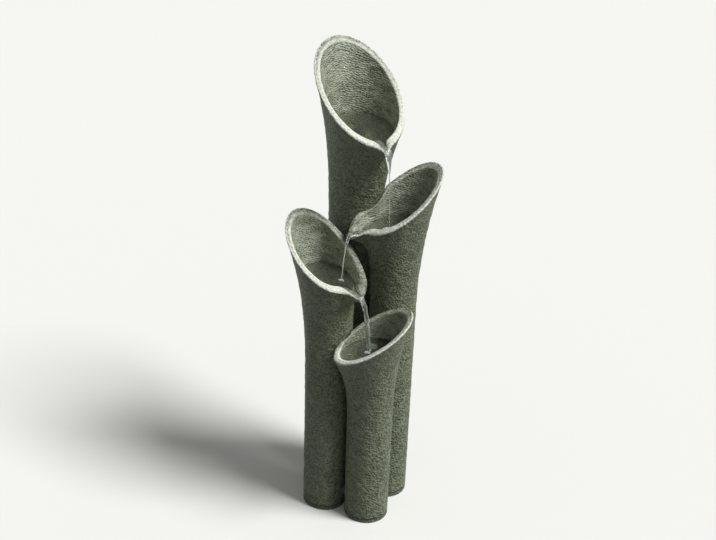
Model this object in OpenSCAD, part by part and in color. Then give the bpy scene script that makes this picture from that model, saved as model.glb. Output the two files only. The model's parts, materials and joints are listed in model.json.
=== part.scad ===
// Garden fountain: four flared tubes of cast resin stone, standing in a square cluster.
// A pump in the foot of the tall tube lifts the water inside that tube to its mouth. From
// there it runs over pouring lips from the tall tube to the right one, the left one and the
// front one, where an overflow pipe takes it back to the sump in the feet.
// Millimetres. The origin is on the ground in the middle of the cluster, +X to the right of
// the front view, +Y to the back and +Z up. Directions are degrees from +X.

/* [Cluster] */
// Outer radius of the right, left and front tubes at the ground
foot_radius = 46; // [44:0.5:47]
// Outer radius of the tall tube at the ground
tall_foot_radius = 51; // [49:0.5:54]
// Growth of those radii in each metre of height
shaft_taper = 4; // [0:0.5:6]
// Side of the square on whose corners the right, front and left tubes stand
cluster_side = 97; // [96:0.5:104]
// Turn of that square about its middle
cluster_turn = 22; // [10:1:34]
// Direction from the right tube to the tall one
tall_bearing = 146; // [138:1:152]
// Gap between two neighbouring tubes where the lower one starts to flare
neck_gap = 0.6; // [0.4:0.1:3]
// Wall of the straight part of a tube at the ground
shaft_wall = 8.5; // [6:0.5:9.5]

/* [Rims] */
// Wall of a tube at its rim
rim_wall = 12.5; // [9:0.5:15]
// Rounding of both edges of a rim
rim_round = 3; // [1:0.5:4]
// Wall that is left where a tube is cut back to clear its neighbour
scribed_wall = 6; // [4:0.5:8]

/* [Tall tube] */
// Height of the sloping plane of the mouth, over the axis of the tube
tall_height = 926; // [860:1:1000]
// Slope of the mouth
tall_slope = 36; // [30:1:44]
// Direction in which the mouth falls
tall_fall = -58; // [-70:1:-40]
// Half length of the mouth along its fall, in plan
tall_long = 101; // [90:1:106]
// Half width of the mouth across its fall, in plan
tall_wide = 82; // [72:1:92]
// Shift of the mouth from the axis of the tube, along X
tall_shift_x = -1; // [-5:1:12]
// Shift of the mouth from the axis of the tube, along Y
tall_shift_y = -13; // [-20:1:0]
// Height at which the tube starts to flare
tall_start = 600; // [540:5:620]
// Power of the flare on the low side of the mouth, 1 for a straight cone
tall_low = 2; // [1.6:0.1:3]
// Power of the flare on the high side of the mouth
tall_high = 3.3; // [2:0.1:5]
// Direction of the pouring lip
tall_lip_turn = -61; // [-75:1:-50]
// Reach of the pouring lip beyond the rim
tall_lip_reach = 22; // [15:1:30]
// Drop of the pouring lip's tip below the rim
tall_lip_drop = 7; // [3:1:12]

/* [Right tube] */
// Height of the sloping plane of the mouth, over the axis of the tube
right_height = 718; // [680:1:750]
// Slope of the mouth
right_slope = 37; // [30:1:42]
// Direction in which the mouth falls
right_fall = 209; // [195:1:215]
// Half length of the mouth along its fall, in plan
right_long = 78; // [70:1:86]
// Half width of the mouth across its fall, in plan
right_wide = 62; // [58:1:74]
// Shift of the mouth from the axis of the tube, along X
right_shift_x = 13; // [0:1:16]
// Shift of the mouth from the axis of the tube, along Y
right_shift_y = -15; // [-24:1:0]
// Height at which the tube starts to flare
right_start = 470; // [430:5:500]
// Power of the flare on the low side of the mouth, 1 for a straight cone
right_low = 2.1; // [1.8:0.1:3]
// Power of the flare on the high side of the mouth
right_high = 2; // [1.8:0.1:3]
// Direction of the pouring lip
right_lip_turn = 198; // [195:1:215]
// Reach of the pouring lip beyond the rim
right_lip_reach = 34; // [26:1:38]
// Drop of the pouring lip's tip below the rim
right_lip_drop = 15; // [8:1:20]

/* [Left tube] */
// Height of the sloping plane of the mouth, over the axis of the tube
left_height = 622; // [580:1:650]
// Slope of the mouth
left_slope = 36; // [30:1:42]
// Direction in which the mouth falls
left_fall = -49; // [-60:1:-36]
// Half length of the mouth along its fall, in plan
left_long = 79; // [70:1:86]
// Half width of the mouth across its fall, in plan
left_wide = 63; // [56:1:72]
// Shift of the mouth from the axis of the tube, along X
left_shift_x = -22; // [-24:1:-6]
// Shift of the mouth from the axis of the tube, along Y
left_shift_y = -12; // [-18:1:0]
// Height at which the tube starts to flare
left_start = 320; // [300:5:380]
// Power of the flare on the low side of the mouth, 1 for a straight cone
left_low = 2.3; // [1.8:0.1:3]
// Power of the flare on the high side of the mouth
left_high = 2.6; // [1.8:0.1:3]
// Direction of the pouring lip
left_lip_turn = -40; // [-60:1:-30]
// Reach of the pouring lip beyond the rim
left_lip_reach = 34; // [26:1:38]
// Drop of the pouring lip's tip below the rim
left_lip_drop = 14; // [8:1:22]

/* [Front tube] */
// Height of the sloping plane of the mouth, over the axis of the tube
front_height = 473; // [440:1:500]
// Slope of the mouth
front_slope = 31; // [20:1:38]
// Direction in which the mouth falls
front_fall = 193; // [175:1:215]
// Half length of the mouth along its fall, in plan
front_long = 79; // [70:1:88]
// Half width of the mouth across its fall, in plan
front_wide = 61; // [54:1:70]
// Shift of the mouth from the axis of the tube, along X
front_shift_x = 0; // [-8:1:8]
// Shift of the mouth from the axis of the tube, along Y
front_shift_y = -36; // [-42:1:-24]
// Height at which the tube starts to flare
front_start = 245; // [230:5:280]
// Power of the flare on the low side of the mouth, 1 for a straight cone
front_low = 2.2; // [1.6:0.1:3]
// Power of the flare on the high side of the mouth
front_high = 2.3; // [1.8:0.1:3]

/* [Pouring lips] */
// Angle over which a lip rises from the rim to half its reach
lip_half_turn = 9; // [6:1:12]
// Angle over which its channel falls to half its depth
channel_half_turn = 5; // [3:0.5:7]
// Depth of the channel at the rim
channel_depth = 8; // [4:0.5:11]
// Wall left at the tip of a lip
lip_wall = 4; // [3:0.5:6]
// Height over which a lip blends into the tube below it
lip_blend = 16; // [10:1:24]

/* [Bowls] */
// Depth of the water over a bowl's floor
bowl_depth = 55; // [40:1:70]
// Thickness of a bowl's floor at its edge
floor_thick = 9; // [7:0.5:14]
// Depth of the dish in a bowl's floor
floor_dish = 4; // [2:0.5:5]
// Width of the flat edge round that dish
floor_edge = 7; // [5:0.5:12]
// Sealant gap round a bowl's floor
floor_gap = 0.9; // [0.6:0.1:0.9]
// Depth of the water over the tip of a pouring lip
water_film = 3; // [2:0.5:5]
// Height of the front tube's rim over its water
front_freeboard = 8; // [6:1:20]

/* [Base] */
// Thickness of the base plate
plate_thick = 8; // [6:0.5:12]
// Thickness of the gaskets under the tubes
gasket_thick = 2; // [1:0.5:3]
// Height of the spigots on the base plate
spigot_height = 14; // [8:1:15]
// Wall of the spigots
spigot_wall = 3; // [2:0.5:3.5]
// Clearance round a spigot
spigot_gap = 0.3; // [0.2:0.1:0.5]

/* [Links between the tubes] */
// Height of the sleeves that join the sumps of neighbouring tubes
link_height = 40; // [38:1:60]
// Outer radius of a sleeve
link_radius = 8.8; // [7:0.2:10]
// Bore radius of a sleeve
link_bore = 6; // [4:0.5:6.5]
// Radius of a sleeve's flange
link_flange = 13; // [11.5:0.5:13.5]
// Thickness of that flange
link_flange_thick = 3; // [2:0.5:4]
// Thickness of a sleeve's nut
link_nut_thick = 5; // [4:0.5:6]
// Depth of the flat seats cut round the joint holes inside the tubes
seat_cut = 0.8; // [0.6:0.1:1.2]
// Radius of the tie bolts higher up
tie_radius = 3; // [2.5:0.5:4]
// Depth of a tie bolt below the start of the lower flare
tie_drop = 30; // [24:1:50]
// Radius of the washers on a tie bolt
washer_radius = 7; // [6:0.5:8]
// Thickness of those washers
washer_thick = 1.5; // [1:0.5:2]

/* [Pump] */
// Length of the motor block
pump_length = 36; // [34:0.5:37]
// Width of the pump
pump_width = 36; // [32:0.5:37]
// Height of the pump over its suction cups
pump_height = 34; // [32:0.5:40]
// Height of the suction cups
cup_height = 6; // [4:0.5:8]
// Radius of the magnet on the rotor
magnet_radius = 8; // [6:0.25:9]
// Radius of the impeller
impeller_radius = 12.5; // [10:0.25:13]
// Blades on the impeller
impeller_blades = 6; // [4:1:8]
// Radius of the fixed shaft
pin_radius = 1.2; // [1:0.1:1.5]
// Radial clearance of the rotor on its shaft
running_gap = 0.06; // [0.03:0.01:0.1]
// Radial clearance of the rotor in its chamber
chamber_gap = 1; // [0.6:0.1:1.5]
// Outer radius of the outlet nozzle and of the hose barb
nozzle_radius = 6; // [5:0.25:7]
// Height of the outlet nozzle
nozzle_height = 18; // [14:1:24]
// Length of the intake cover
cover_length = 11; // [9:0.5:12]

/* [Supply] */
// Wall of the supply hose
hose_wall = 2; // [1.5:0.25:3]
// Thickness of the flange of the bowl inlet
inlet_flange_thick = 4; // [3:0.5:6]
// Radius of that flange
inlet_flange_radius = 15; // [13:0.5:17]
// Outer radius of the inlet's threaded barrel
inlet_radius = 9; // [8.5:0.5:10]
// Height of the inlet's mouth over its flange
inlet_rise = 26; // [15:1:30]
// Length of the barb below the nut
barb_length = 18; // [14:1:24]

/* [Service openings] */
// Width of the access hatch at the back of the tall tube
hatch_width = 60; // [50:1:64]
// Height of the access hatch
hatch_height = 86; // [60:1:100]
// Height of the hatch's lower edge above the ground
hatch_base = 108; // [100:1:130]
// Width of the rebate round the hatch
hatch_rebate = 5; // [4:0.5:7]
// Thickness of the hatch
hatch_thick = 4; // [3:0.25:5]
// Clearance round the hatch
hatch_gap = 0.4; // [0.3:0.1:0.6]
// Thickness of the hatch's gasket
hatch_gasket_thick = 1.2; // [0.8:0.1:2]
// Radius of the drain plug's neck
drain_radius = 7; // [5:0.5:8]
// Height of the drain above the ground
drain_height = 36; // [34:1:44]
// Radius of the sleeve's bore in the cable grommet, which grips the cord
cable_radius = 3.5; // [2.5:0.5:4.5]
// Length of that sleeve behind the grommet's outer flange
cable_sleeve = 10; // [8:1:16]
// Radial play of the cord where it passes the wall
cable_play = 0.8; // [0.5:0.1:1.5]
// Height of the cable grommet above the ground
cable_height = 228; // [220:1:260]
// Outer radius of the overflow pipe
overflow_radius = 10; // [8:0.5:12]
// Wall of the overflow pipe
overflow_wall = 2; // [1.5:0.25:3]
// Height of the lower end of the overflow pipe above the ground
overflow_outlet = 90; // [60:1:120]

/* [Hidden] */
$fn = 64;

STONE = "#4b5348";
PLASTIC = "#1d1f20";
RUBBER = "#26282a";
STEEL = "#b9bdc0";

// Facets round a mouth, rings up its outside and inside, and how far rings crowd at the lip
round_steps = 44;
outer_rings = 11;
inner_rings = 8;
lip_crowding = 36;
// Overlap of a head and the straight shaft below it, and the step that keeps it inside the wall
weld_height = 6;
weld_step = 0.3;
// Corners of the square of tubes
RIGHT = 0;
TALL = 1;
LEFT = 2;
FRONT = 3;
ALL = [RIGHT, TALL, LEFT, FRONT];

tube_base = plate_thick + gasket_thick;

// Values of each tube in one order: height, slope, fall, half axes, shift, start and powers
// of the flare, direction, reach and drop of the lip, and the taller neighbours
TUBES = [
    [right_height, right_slope, right_fall, [right_long, right_wide],
        [right_shift_x, right_shift_y], right_start, [right_low, right_high],
        right_lip_turn, right_lip_reach, right_lip_drop, [TALL]],
    [tall_height, tall_slope, tall_fall, [tall_long, tall_wide],
        [tall_shift_x, tall_shift_y], tall_start, [tall_low, tall_high],
        tall_lip_turn, tall_lip_reach, tall_lip_drop, []],
    [left_height, left_slope, left_fall, [left_long, left_wide],
        [left_shift_x, left_shift_y], left_start, [left_low, left_high],
        left_lip_turn, left_lip_reach, left_lip_drop, [TALL]],
    [front_height, front_slope, front_fall, [front_long, front_wide],
        [front_shift_x, front_shift_y], front_start, [front_low, front_high],
        front_fall, 0, 0, [RIGHT, LEFT]]];

function height(t) = TUBES[t][0];
function slope(t) = TUBES[t][1];
function fall(t) = TUBES[t][2];
function half_axes(t) = TUBES[t][3];
function shift(t) = TUBES[t][4];
function start(t) = TUBES[t][5];
function powers(t) = TUBES[t][6];
function lip_turn(t) = TUBES[t][7];
function lip_reach(t) = TUBES[t][8];
function lip_drop(t) = TUBES[t][9];
function taller(t) = TUBES[t][10];

function dir(a) = [cos(a), sin(a)];
function foot_of(t) = t == TALL ? tall_foot_radius : foot_radius;
function shaft_radius(t, z) = foot_of(t) + shaft_taper*z/1000;
function bore(t) = foot_of(t) - shaft_wall;
function corner(t) = cluster_side/sqrt(2)*dir(cluster_turn + 90*t);
function foot(t) = t != TALL ? corner(t) : corner(RIGHT) + dir(tall_bearing)
    *(shaft_radius(TALL, right_start) + shaft_radius(RIGHT, right_start) + neck_gap);

// Plan of a mouth from the axis of its tube: a shifted ellipse, drawn in by inset
function mouth_plan(t, a, inset) =
    let(u = (half_axes(t)[0] - inset)*cos(a - fall(t)),
        v = (half_axes(t)[1] - inset)*sin(a - fall(t)))
    shift(t) + u*dir(fall(t)) + v*dir(fall(t) + 90);

// Height of a mouth's sloping plane over a point of its plan
function mouth_height(t, p) = height(t) - tan(slope(t))*(p*dir(fall(t)));

// Power of the flare in direction a, from the low side to the high side
function flare_power(t, a) =
    let(p = powers(t)) (p[0] + p[1])/2 + (p[0] - p[1])/2*cos(a - fall(t));

// Share of the mouth in the section at height z, where top is the height of the rim
function flare(t, a, z, top) =
    pow(max(0, min(1, (z - start(t))/(top - start(t)))), flare_power(t, a));

// Reach of a tube's outside from its axis in direction a at height z
function body_reach(t, a, z) =
    let(m = mouth_plan(t, a, 0), w = flare(t, a, z, mouth_height(t, m)))
    (1 - w)*shaft_radius(t, z) + w*norm(m);

// Point p of tube t at height z, drawn back along its radius until it clears neighbour n
function clear_of(t, p, z, spare, n) =
    let(q = p - foot(n), r = body_reach(n, atan2(q[1], q[0]), z) + spare)
    norm(q) >= r ? p :
    let(d = p - foot(t), m = foot(t) - foot(n), b = m*d, root = b*b - d*d*(m*m - r*r))
    foot(t) + (root > 0 ? (-b - sqrt(root))/(d*d) : 1)*d;

function clear_all(t, p, z, spare, list, k = 0) =
    k == len(list) ? p :
    clear_all(t, clear_of(t, p, z, spare, list[k]), z, spare, list, k + 1);

// Plan of the wall in direction a at height z: inset is 0 outside and rim_wall inside
function wall_plan(t, a, z, inset) =
    let(f = inset/rim_wall,
        m = mouth_plan(t, a, inset),
        w = flare(t, a, z, mouth_height(t, m)),
        r = (1 - f)*(shaft_radius(t, z) - weld_step/2) + f*(bore(t) + weld_step),
        p = foot(t) + (1 - w)*r*dir(a) + w*m)
    clear_all(t, p, z, neck_gap + f*scribed_wall, taller(t));

// Bell curve round a lip: 1 at its middle, a third at half_turn
function bell(t, a, half_turn) =
    let(d = (a - lip_turn(t) + 540)%360 - 180) 1/pow(1 + pow(d/half_turn, 2), 1.5);

// Lowering of the rim by the pouring channel
function channel(t, a) = lip_reach(t) > 0 ? channel_depth*bell(t, a, channel_half_turn) : 0;

// Pull of the lip on a point: out by its reach, more inside than outside so that the wall
// thins to lip_wall at the tip, and down by its drop, fading with the depth under the rim
function lip_pull(t, a, depth, inset) =
    let(f = inset/rim_wall,
        out = lip_reach(t) > 0 ? (1 - f)*lip_reach(t)*bell(t, a, lip_half_turn)
            + f*(lip_reach(t) + rim_wall - lip_wall)*bell(t, a, channel_half_turn) : 0,
        down = lip_drop(t)*bell(t, a, lip_half_turn),
        fade = exp(-max(0, depth)/lip_blend))
    fade*[out*cos(lip_turn(t)), out*sin(lip_turn(t)), -down];

// Point of the wall in direction a, share of the way up from the start of the flare to
// the rim, less drop
function wall_point(t, a, inset, share, drop) =
    let(h = mouth_height(t, mouth_plan(t, a, inset)),
        top = h - channel(t, a) - drop,
        z = start(t) + share*(top - start(t)),
        p = wall_plan(t, a, z, inset))
    [p[0], p[1], z] + lip_pull(t, a, h - channel(t, a) - z, inset);

function crowded(j, n) = sin(90*j/n);
function ring_turn(t, i) =
    let(u = 360*i/round_steps)
    lip_turn(t) + u - (lip_reach(t) > 0 ? lip_crowding*sin(u) : 0);

function wall_ring(t, inset, share, drop) =
    [for (i = [0:round_steps - 1]) wall_point(t, ring_turn(t, i), inset, share, drop)];
function weld_ring(t, inset) =
    [for (p = wall_ring(t, inset, 0, 0)) p - [0, 0, weld_height]];

// Outline of a tube's inside at height z, drawn in by gap
function inside_plan(t, z, gap) =
    [for (i = [0:round_steps - 1])
        let(p = wall_plan(t, ring_turn(t, i), z, rim_wall), c = foot(t), d = p - c)
        c + d*(1 - gap/norm(d))];

// Flared head of a tube as a closed skin: up the outside, over the rim, down the inside
module head(t) {
    r = rim_round;
    edge = r*(1 - cos(45));
    rings = concat(
        [weld_ring(t, 0)],
        [for (j = [0:outer_rings]) wall_ring(t, 0, crowded(j, outer_rings), r)],
        [wall_ring(t, edge, 1, edge), wall_ring(t, r, 1, 0)],
        [wall_ring(t, rim_wall - r, 1, 0), wall_ring(t, rim_wall - edge, 1, edge)],
        [for (j = [inner_rings:-1:0]) wall_ring(t, rim_wall, crowded(j, inner_rings), r)],
        [weld_ring(t, rim_wall)]);
    n = round_steps;
    count = len(rings);
    points = [for (ring = rings) each ring];
    faces = [for (j = [0:count - 1], i = [0:n - 1])
        let(a = j*n + i, b = j*n + (i + 1)%n,
            c = ((j + 1)%count)*n + (i + 1)%n, d = ((j + 1)%count)*n + i)
        each [[a, d, c], [a, c, b]]];
    polyhedron(points, faces);
}

module at_foot(t) {
    translate([foot(t)[0], foot(t)[1], 0]) children();
}

// Solid of revolution over the straight part of a tube, larger by extra
module shaft_core(t, extra = 0) {
    at_foot(t) rotate_extrude($fn = 96) polygon([[0, tube_base],
        [shaft_radius(t, tube_base) + extra, tube_base],
        [shaft_radius(t, start(t)) + extra, start(t)], [0, start(t)]]);
}

// Joints between neighbouring tubes, and the frame of one: origin on the axis of its first
// tube at height z, +X to the axis of the second
JOINTS = [[RIGHT, TALL], [RIGHT, FRONT], [FRONT, LEFT]];
function span(j) = norm(foot(j[1]) - foot(j[0]));
function near(j) = bore(j[0]) + seat_cut;
function far(j) = span(j) - bore(j[1]) - seat_cut;
function tie_height(j) = min(start(j[0]), start(j[1])) - tie_drop;
module at_joint(j, z) {
    d = foot(j[1]) - foot(j[0]);
    at_foot(j[0]) translate([0, 0, z]) rotate(atan2(d[1], d[0])) children();
}

// Cylinder along X from x1 to x2
module bar(x1, x2, r, sides = 48) {
    translate([x1, 0, 0]) rotate([0, 90, 0]) cylinder(h = x2 - x1, r = r, $fn = sides);
}

// Hole through both walls of a joint and the flat seats round it inside the tubes
module joint_hole(j, z, hole, seat) {
    pocket = 12;
    at_joint(j, z) {
        bar(near(j) - pocket + 1, far(j) + pocket - 1, hole);
        bar(near(j) - pocket, near(j), seat);
        bar(far(j), far(j) + pocket, seat);
    }
}

module joint_holes(t) {
    for (j = JOINTS) if (j[0] == t || j[1] == t) {
        joint_hole(j, link_height, link_radius + 0.3, link_flange + 0.6);
        joint_hole(j, tie_height(j), tie_radius + 0.3, washer_radius + 0.6);
    }
}

// One casting: the bored shaft less its joint holes and the children, and the head on top
module casting(t) {
    union() {
        difference() {
            shaft_core(t);
            at_foot(t) translate([0, 0, tube_base - 1])
                cylinder(h = start(t) - tube_base + 2, r = bore(t), $fn = 96);
            joint_holes(t);
            children();
        }
        head(t);
    }
}

// Frame of the tall tube's foot, +X out of its back through the hatch
module at_service(z = 0) {
    at_foot(TALL) translate([0, 0, z]) rotate(90) children();
}

// Block for the hatch and its opening, larger by extra all round
module hatch_block(extra) {
    round = 6;
    w = hatch_width/2 + extra - round;
    h = hatch_height/2 + extra - round;
    at_service(hatch_base + hatch_height/2)
        rotate([90, 0, 90]) linear_extrude(tall_foot_radius + 20)
            union() {
                square([2*(w + round), 2*h], center = true);
                square([2*w, 2*(h + round)], center = true);
                for (x = [-w, w], y = [-h, h]) translate([x, y]) circle(round, $fn = 32);
            }
}

module tall_tube() {
    color(STONE) casting(TALL) union() {
        difference() {
            hatch_block(hatch_gap);
            shaft_core(TALL, -hatch_thick - hatch_gasket_thick - hatch_gap);
        }
        hatch_block(-hatch_rebate);
        at_service(drain_height) bar(bore(TALL) - 5, tall_foot_radius + 5, drain_radius + 0.3);
        at_service(cable_height) bar(bore(TALL) - 5, tall_foot_radius + 5, cable_radius + 2.8);
    }
}

module right_tube() {
    color(STONE) casting(RIGHT);
}

module left_tube() {
    color(STONE) casting(LEFT);
}

module front_tube() {
    color(STONE) casting(FRONT);
}

// Plate under all four tubes with a spigot inside each of them
module base_plate() {
    color(STONE) union() {
        linear_extrude(plate_thick) union() {
            for (t = ALL) translate(foot(t)) circle(foot_of(t), $fn = 96);
            polygon([for (t = ALL) foot(t)]);
        }
        for (t = ALL) at_foot(t) translate([0, 0, plate_thick - 1]) difference() {
            cylinder(h = spigot_height + 1, r = bore(t) - spigot_gap, $fn = 96);
            translate([0, 0, 1]) cylinder(h = spigot_height + 1,
                r = bore(t) - spigot_gap - spigot_wall, $fn = 96);
        }
    }
}

module foot_gaskets() {
    color(RUBBER) for (t = ALL) at_foot(t) translate([0, 0, plate_thick]) difference() {
        cylinder(h = gasket_thick, r = foot_of(t) - 0.5, $fn = 96);
        translate([0, 0, -1]) cylinder(h = gasket_thick + 2, r = bore(t), $fn = 96);
    }
}

// Flanged sleeves through both walls, so that the sumps of all the tubes are one
module link_sleeves() {
    color(PLASTIC) for (j = JOINTS) at_joint(j, link_height) difference() {
        union() {
            bar(near(j) - 1, far(j) + link_nut_thick, link_radius);
            bar(near(j) - link_flange_thick, near(j), link_flange);
        }
        bar(near(j) - link_flange_thick - 1, far(j) + link_nut_thick + 1, link_bore);
    }
}

module link_nuts() {
    color(PLASTIC) for (j = JOINTS) at_joint(j, link_height)
        translate([far(j), 0, 0]) difference() {
            bar(0, link_nut_thick, link_flange, 6);
            bar(-1, link_nut_thick + 1, link_radius + 0.05);
        }
}

// Rubber saddle between two tubes: a ring hollowed to both of their outsides
module saddle(j, z, hole, radius) {
    a = foot_of(j[0]);
    b = foot_of(j[1]);
    difference() {
        at_joint(j, z) difference() {
            bar(sqrt(a*a - radius*radius), span(j) - sqrt(b*b - radius*radius), radius);
            bar(0, span(j), hole);
        }
        shaft_core(j[0], 0.2);
        shaft_core(j[1], 0.2);
    }
}

module saddle_seals() {
    color(RUBBER) for (j = JOINTS) {
        saddle(j, link_height, link_radius + 0.1, link_flange + 1);
        saddle(j, tie_height(j), tie_radius + 0.1, washer_radius + 2);
    }
}

// Tie bolts, washers and nuts that draw the tubes together below the lower flare
tie_head = 4;
tie_nut = 5;

module tie_bolts() {
    color(STEEL) for (j = JOINTS) at_joint(j, tie_height(j)) {
        under_head = near(j) - washer_thick;
        bar(under_head - tie_head, under_head, tie_radius*1.8);
        bar(under_head - 1, far(j) + washer_thick + tie_nut + 1, tie_radius);
    }
}

module tie_washers() {
    color(STEEL) for (j = JOINTS) at_joint(j, tie_height(j))
        for (x = [near(j) - washer_thick, far(j)]) difference() {
            bar(x, x + washer_thick, washer_radius);
            bar(x - 1, x + washer_thick + 1, tie_radius + 0.2);
        }
}

module tie_nuts() {
    color(STEEL) for (j = JOINTS) at_joint(j, tie_height(j))
        translate([far(j) + washer_thick, 0, 0]) difference() {
            bar(0, tie_nut, tie_radius*1.9, 6);
            bar(-1, tie_nut + 1, tie_radius + 0.05);
        }
}

// Height of the water in a mouth: just over the tip of its lip, or below the front rim
function water_level(t) = lip_reach(t) > 0 ?
    mouth_height(t, mouth_plan(t, lip_turn(t), rim_wall)) - channel_depth - lip_drop(t) + water_film :
    mouth_height(t, mouth_plan(t, fall(t), rim_wall)) - front_freeboard;
function floor_base(t) = water_level(t) - bowl_depth - floor_thick + floor_dish;
function floor_top(t) = floor_base(t) + floor_thick - floor_dish;

// Dished floor of a mouth, shaped to the tube's inside at that height
module bowl_floor(t) {
    difference() {
        translate([0, 0, floor_base(t)]) linear_extrude(floor_thick)
            polygon(inside_plan(t, floor_base(t), floor_gap));
        translate([0, 0, floor_top(t)]) linear_extrude(floor_thick)
            polygon(inside_plan(t, floor_base(t), floor_edge));
    }
}

// Front of the motor block from the middle of the tall tube, and the nozzle behind it
body_front = 12;
nozzle_x = body_front - 7;

module tall_bowl() {
    color(STONE) difference() {
        bowl_floor(TALL);
        at_service(floor_base(TALL) - 1) translate([nozzle_x, 0, 0])
            cylinder(h = floor_thick + 2, r = inlet_radius + 0.3);
    }
}

module right_bowl() {
    color(STONE) bowl_floor(RIGHT);
}

module left_bowl() {
    color(STONE) bowl_floor(LEFT);
}

module front_bowl() {
    color(STONE) difference() {
        bowl_floor(FRONT);
        at_foot(FRONT) translate([0, 0, floor_base(FRONT) - 1])
            cylinder(h = floor_thick + 2, r = overflow_radius + 0.3);
    }
}

// Ring along Z from z1 to z2
module ring(z1, z2, outer, inner, sides = 48) {
    translate([0, 0, z1]) difference() {
        cylinder(h = z2 - z1, r = outer, $fn = sides);
        translate([0, 0, -1]) cylinder(h = z2 - z1 + 2, r = inner, $fn = 48);
    }
}

seal_thick = 2;
inlet_nut_thick = 7;
hose_inside = nozzle_radius + 0.1;
nozzle_bore = nozzle_radius - 2;
flange_base = floor_top(TALL) + seal_thick;
barb_top = floor_base(TALL) - inlet_nut_thick;

// Bowl inlet: flange on the floor, mouth above it, threaded barrel and hose barb below
module inlet_fitting() {
    color(PLASTIC) at_service() translate([nozzle_x, 0, 0]) difference() {
        union() {
            translate([0, 0, flange_base]) cylinder(h = inlet_flange_thick, r = inlet_flange_radius);
            translate([0, 0, flange_base]) cylinder(h = inlet_rise, r = inlet_radius - 1);
            translate([0, 0, barb_top]) cylinder(h = flange_base - barb_top + 1, r = inlet_radius);
            translate([0, 0, barb_top - barb_length]) cylinder(h = barb_length + 1, r = nozzle_radius);
        }
        translate([0, 0, barb_top - barb_length - 1])
            cylinder(h = inlet_rise + barb_length + 60, r = nozzle_bore);
    }
}

module inlet_seal() {
    color(RUBBER) at_service() translate([nozzle_x, 0, 0])
        ring(floor_top(TALL), flange_base, inlet_flange_radius, inlet_radius + 0.1);
}

module inlet_nut() {
    color(PLASTIC) at_service() translate([nozzle_x, 0, 0])
        ring(barb_top, floor_base(TALL), inlet_flange_radius, inlet_radius + 0.05, 6);
}

pump_base = plate_thick + cup_height;
pump_top = pump_base + pump_height;
hose_base = pump_top + 3;
hose_top = barb_top - 2;

module supply_hose() {
    color(PLASTIC) at_service() translate([nozzle_x, 0, 0])
        ring(hose_base, hose_top, hose_inside + hose_wall, hose_inside);
}

// Worm-drive clamps over both ends of the hose: a band and its screw housing
module hose_clamps() {
    band = 8;
    inner = hose_inside + hose_wall + 0.05;
    color(STEEL) at_service() translate([nozzle_x, 0, 0])
        for (z = [hose_base + 2, hose_top - 2 - band]) {
            ring(z, z + band, inner + 1, inner);
            translate([-inner - 5, -4, z]) difference() {
                cube([5, 8, band]);
                translate([2.5, -1, band/2]) rotate([-90, 0, 0]) cylinder(h = 3, r = 1.5, $fn = 24);
            }
        }
}

rotor_height = pump_base + 15;
body_back = body_front - pump_length;
chamber_depth = 10;
rotor_bore = magnet_radius + chamber_gap;
volute_radius = impeller_radius + 1.5;
bore_back = body_back + 6;

// Rounded block along X, its section a rounded rectangle standing on the suction cups
module pump_block(x1, x2, draw = 0) {
    round = 6;
    w = pump_width/2 - round - draw;
    h = pump_height/2 - round - draw;
    translate([x1, 0, pump_base + pump_height/2]) rotate([90, 0, 90]) linear_extrude(x2 - x1)
        union() {
            square([2*(w + round), 2*h], center = true);
            square([2*w, 2*(h + round)], center = true);
            for (x = [-w, w], y = [-h, h]) translate([x, y]) circle(round, $fn = 32);
        }
}

module at_rotor() {
    translate([0, 0, rotor_height]) children();
}

// Motor block with the rotor's bore, the open volute at its front and the outlet nozzle
module pump_body() {
    color(PLASTIC) at_service() difference() {
        union() {
            pump_block(body_back, body_front);
            translate([nozzle_x, 0, pump_top - 4])
                cylinder(h = nozzle_height + 4, r = nozzle_radius);
            for (y = [-9, 0, 9]) translate([body_back + 6, y - 1, pump_top - 1]) cube([14, 2, 2.5]);
        }
        at_rotor() {
            bar(bore_back, body_front - chamber_depth + 1, rotor_bore);
            bar(body_front - chamber_depth, body_front + 1, volute_radius);
            bar(bore_back - 3, bore_back + 1, pin_radius + 1.3);
        }
        translate([nozzle_x, 0, rotor_height])
            cylinder(h = pump_height + nozzle_height, r = nozzle_bore);
        for (x = [body_back + 7, 5], y = [-11, 11]) translate([x, y, pump_base - 1])
            cylinder(h = 4, r = 2.2, $fn = 24);
    }
}

volute_thick = 2;

// Plate that closes the volute, with the inlet eye and the front bush's seat
module pump_volute_plate() {
    color(PLASTIC) at_service() difference() {
        pump_block(body_front, body_front + volute_thick, 1);
        at_rotor() {
            bar(body_front - 1, body_front + volute_thick + 1, pin_radius + 1.3);
            for (a = [0:60:300]) rotate([a, 0, 0]) translate([0, 5, 0])
                bar(body_front - 1, body_front + volute_thick + 1, 1.7, 24);
        }
    }
}

cover_base = body_front + volute_thick + 0.3;
cover_front = cover_base + cover_length;
dial_radius = 7.5;

// Intake cover: a shell with slots all round, and a seat for the flow dial in front
module pump_cover() {
    color(PLASTIC) at_service() difference() {
        pump_block(cover_base, cover_front);
        intersection() {
            pump_block(cover_base - 1, cover_front - 2, 2);
            translate([cover_base - 1, -pump_width, 0]) cube([cover_length - 1, 2*pump_width, 200]);
        }
        for (y = [-12:4:12]) translate([cover_base + 2, y - 1, pump_top - 4])
            cube([cover_length - 5, 2, 6]);
        for (y = [-12:4:12]) translate([cover_base + 2, y - 1, pump_base - 1])
            cube([cover_length - 5, 2, 4]);
        for (z = [pump_base + 5:4:pump_top - 6], y = [-pump_width/2 - 1, pump_width/2 - 3])
            translate([cover_base + 2, y, z]) cube([cover_length - 5, 4, 2]);
        at_rotor() {
            bar(cover_front - 3, cover_front + 1, 2.5, 24);
            for (a = [45, 225]) rotate([a, 0, 0]) translate([0, 5, 0]) bar(cover_front - 3, cover_front + 1, 1.8, 24);
        }
    }
}

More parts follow.
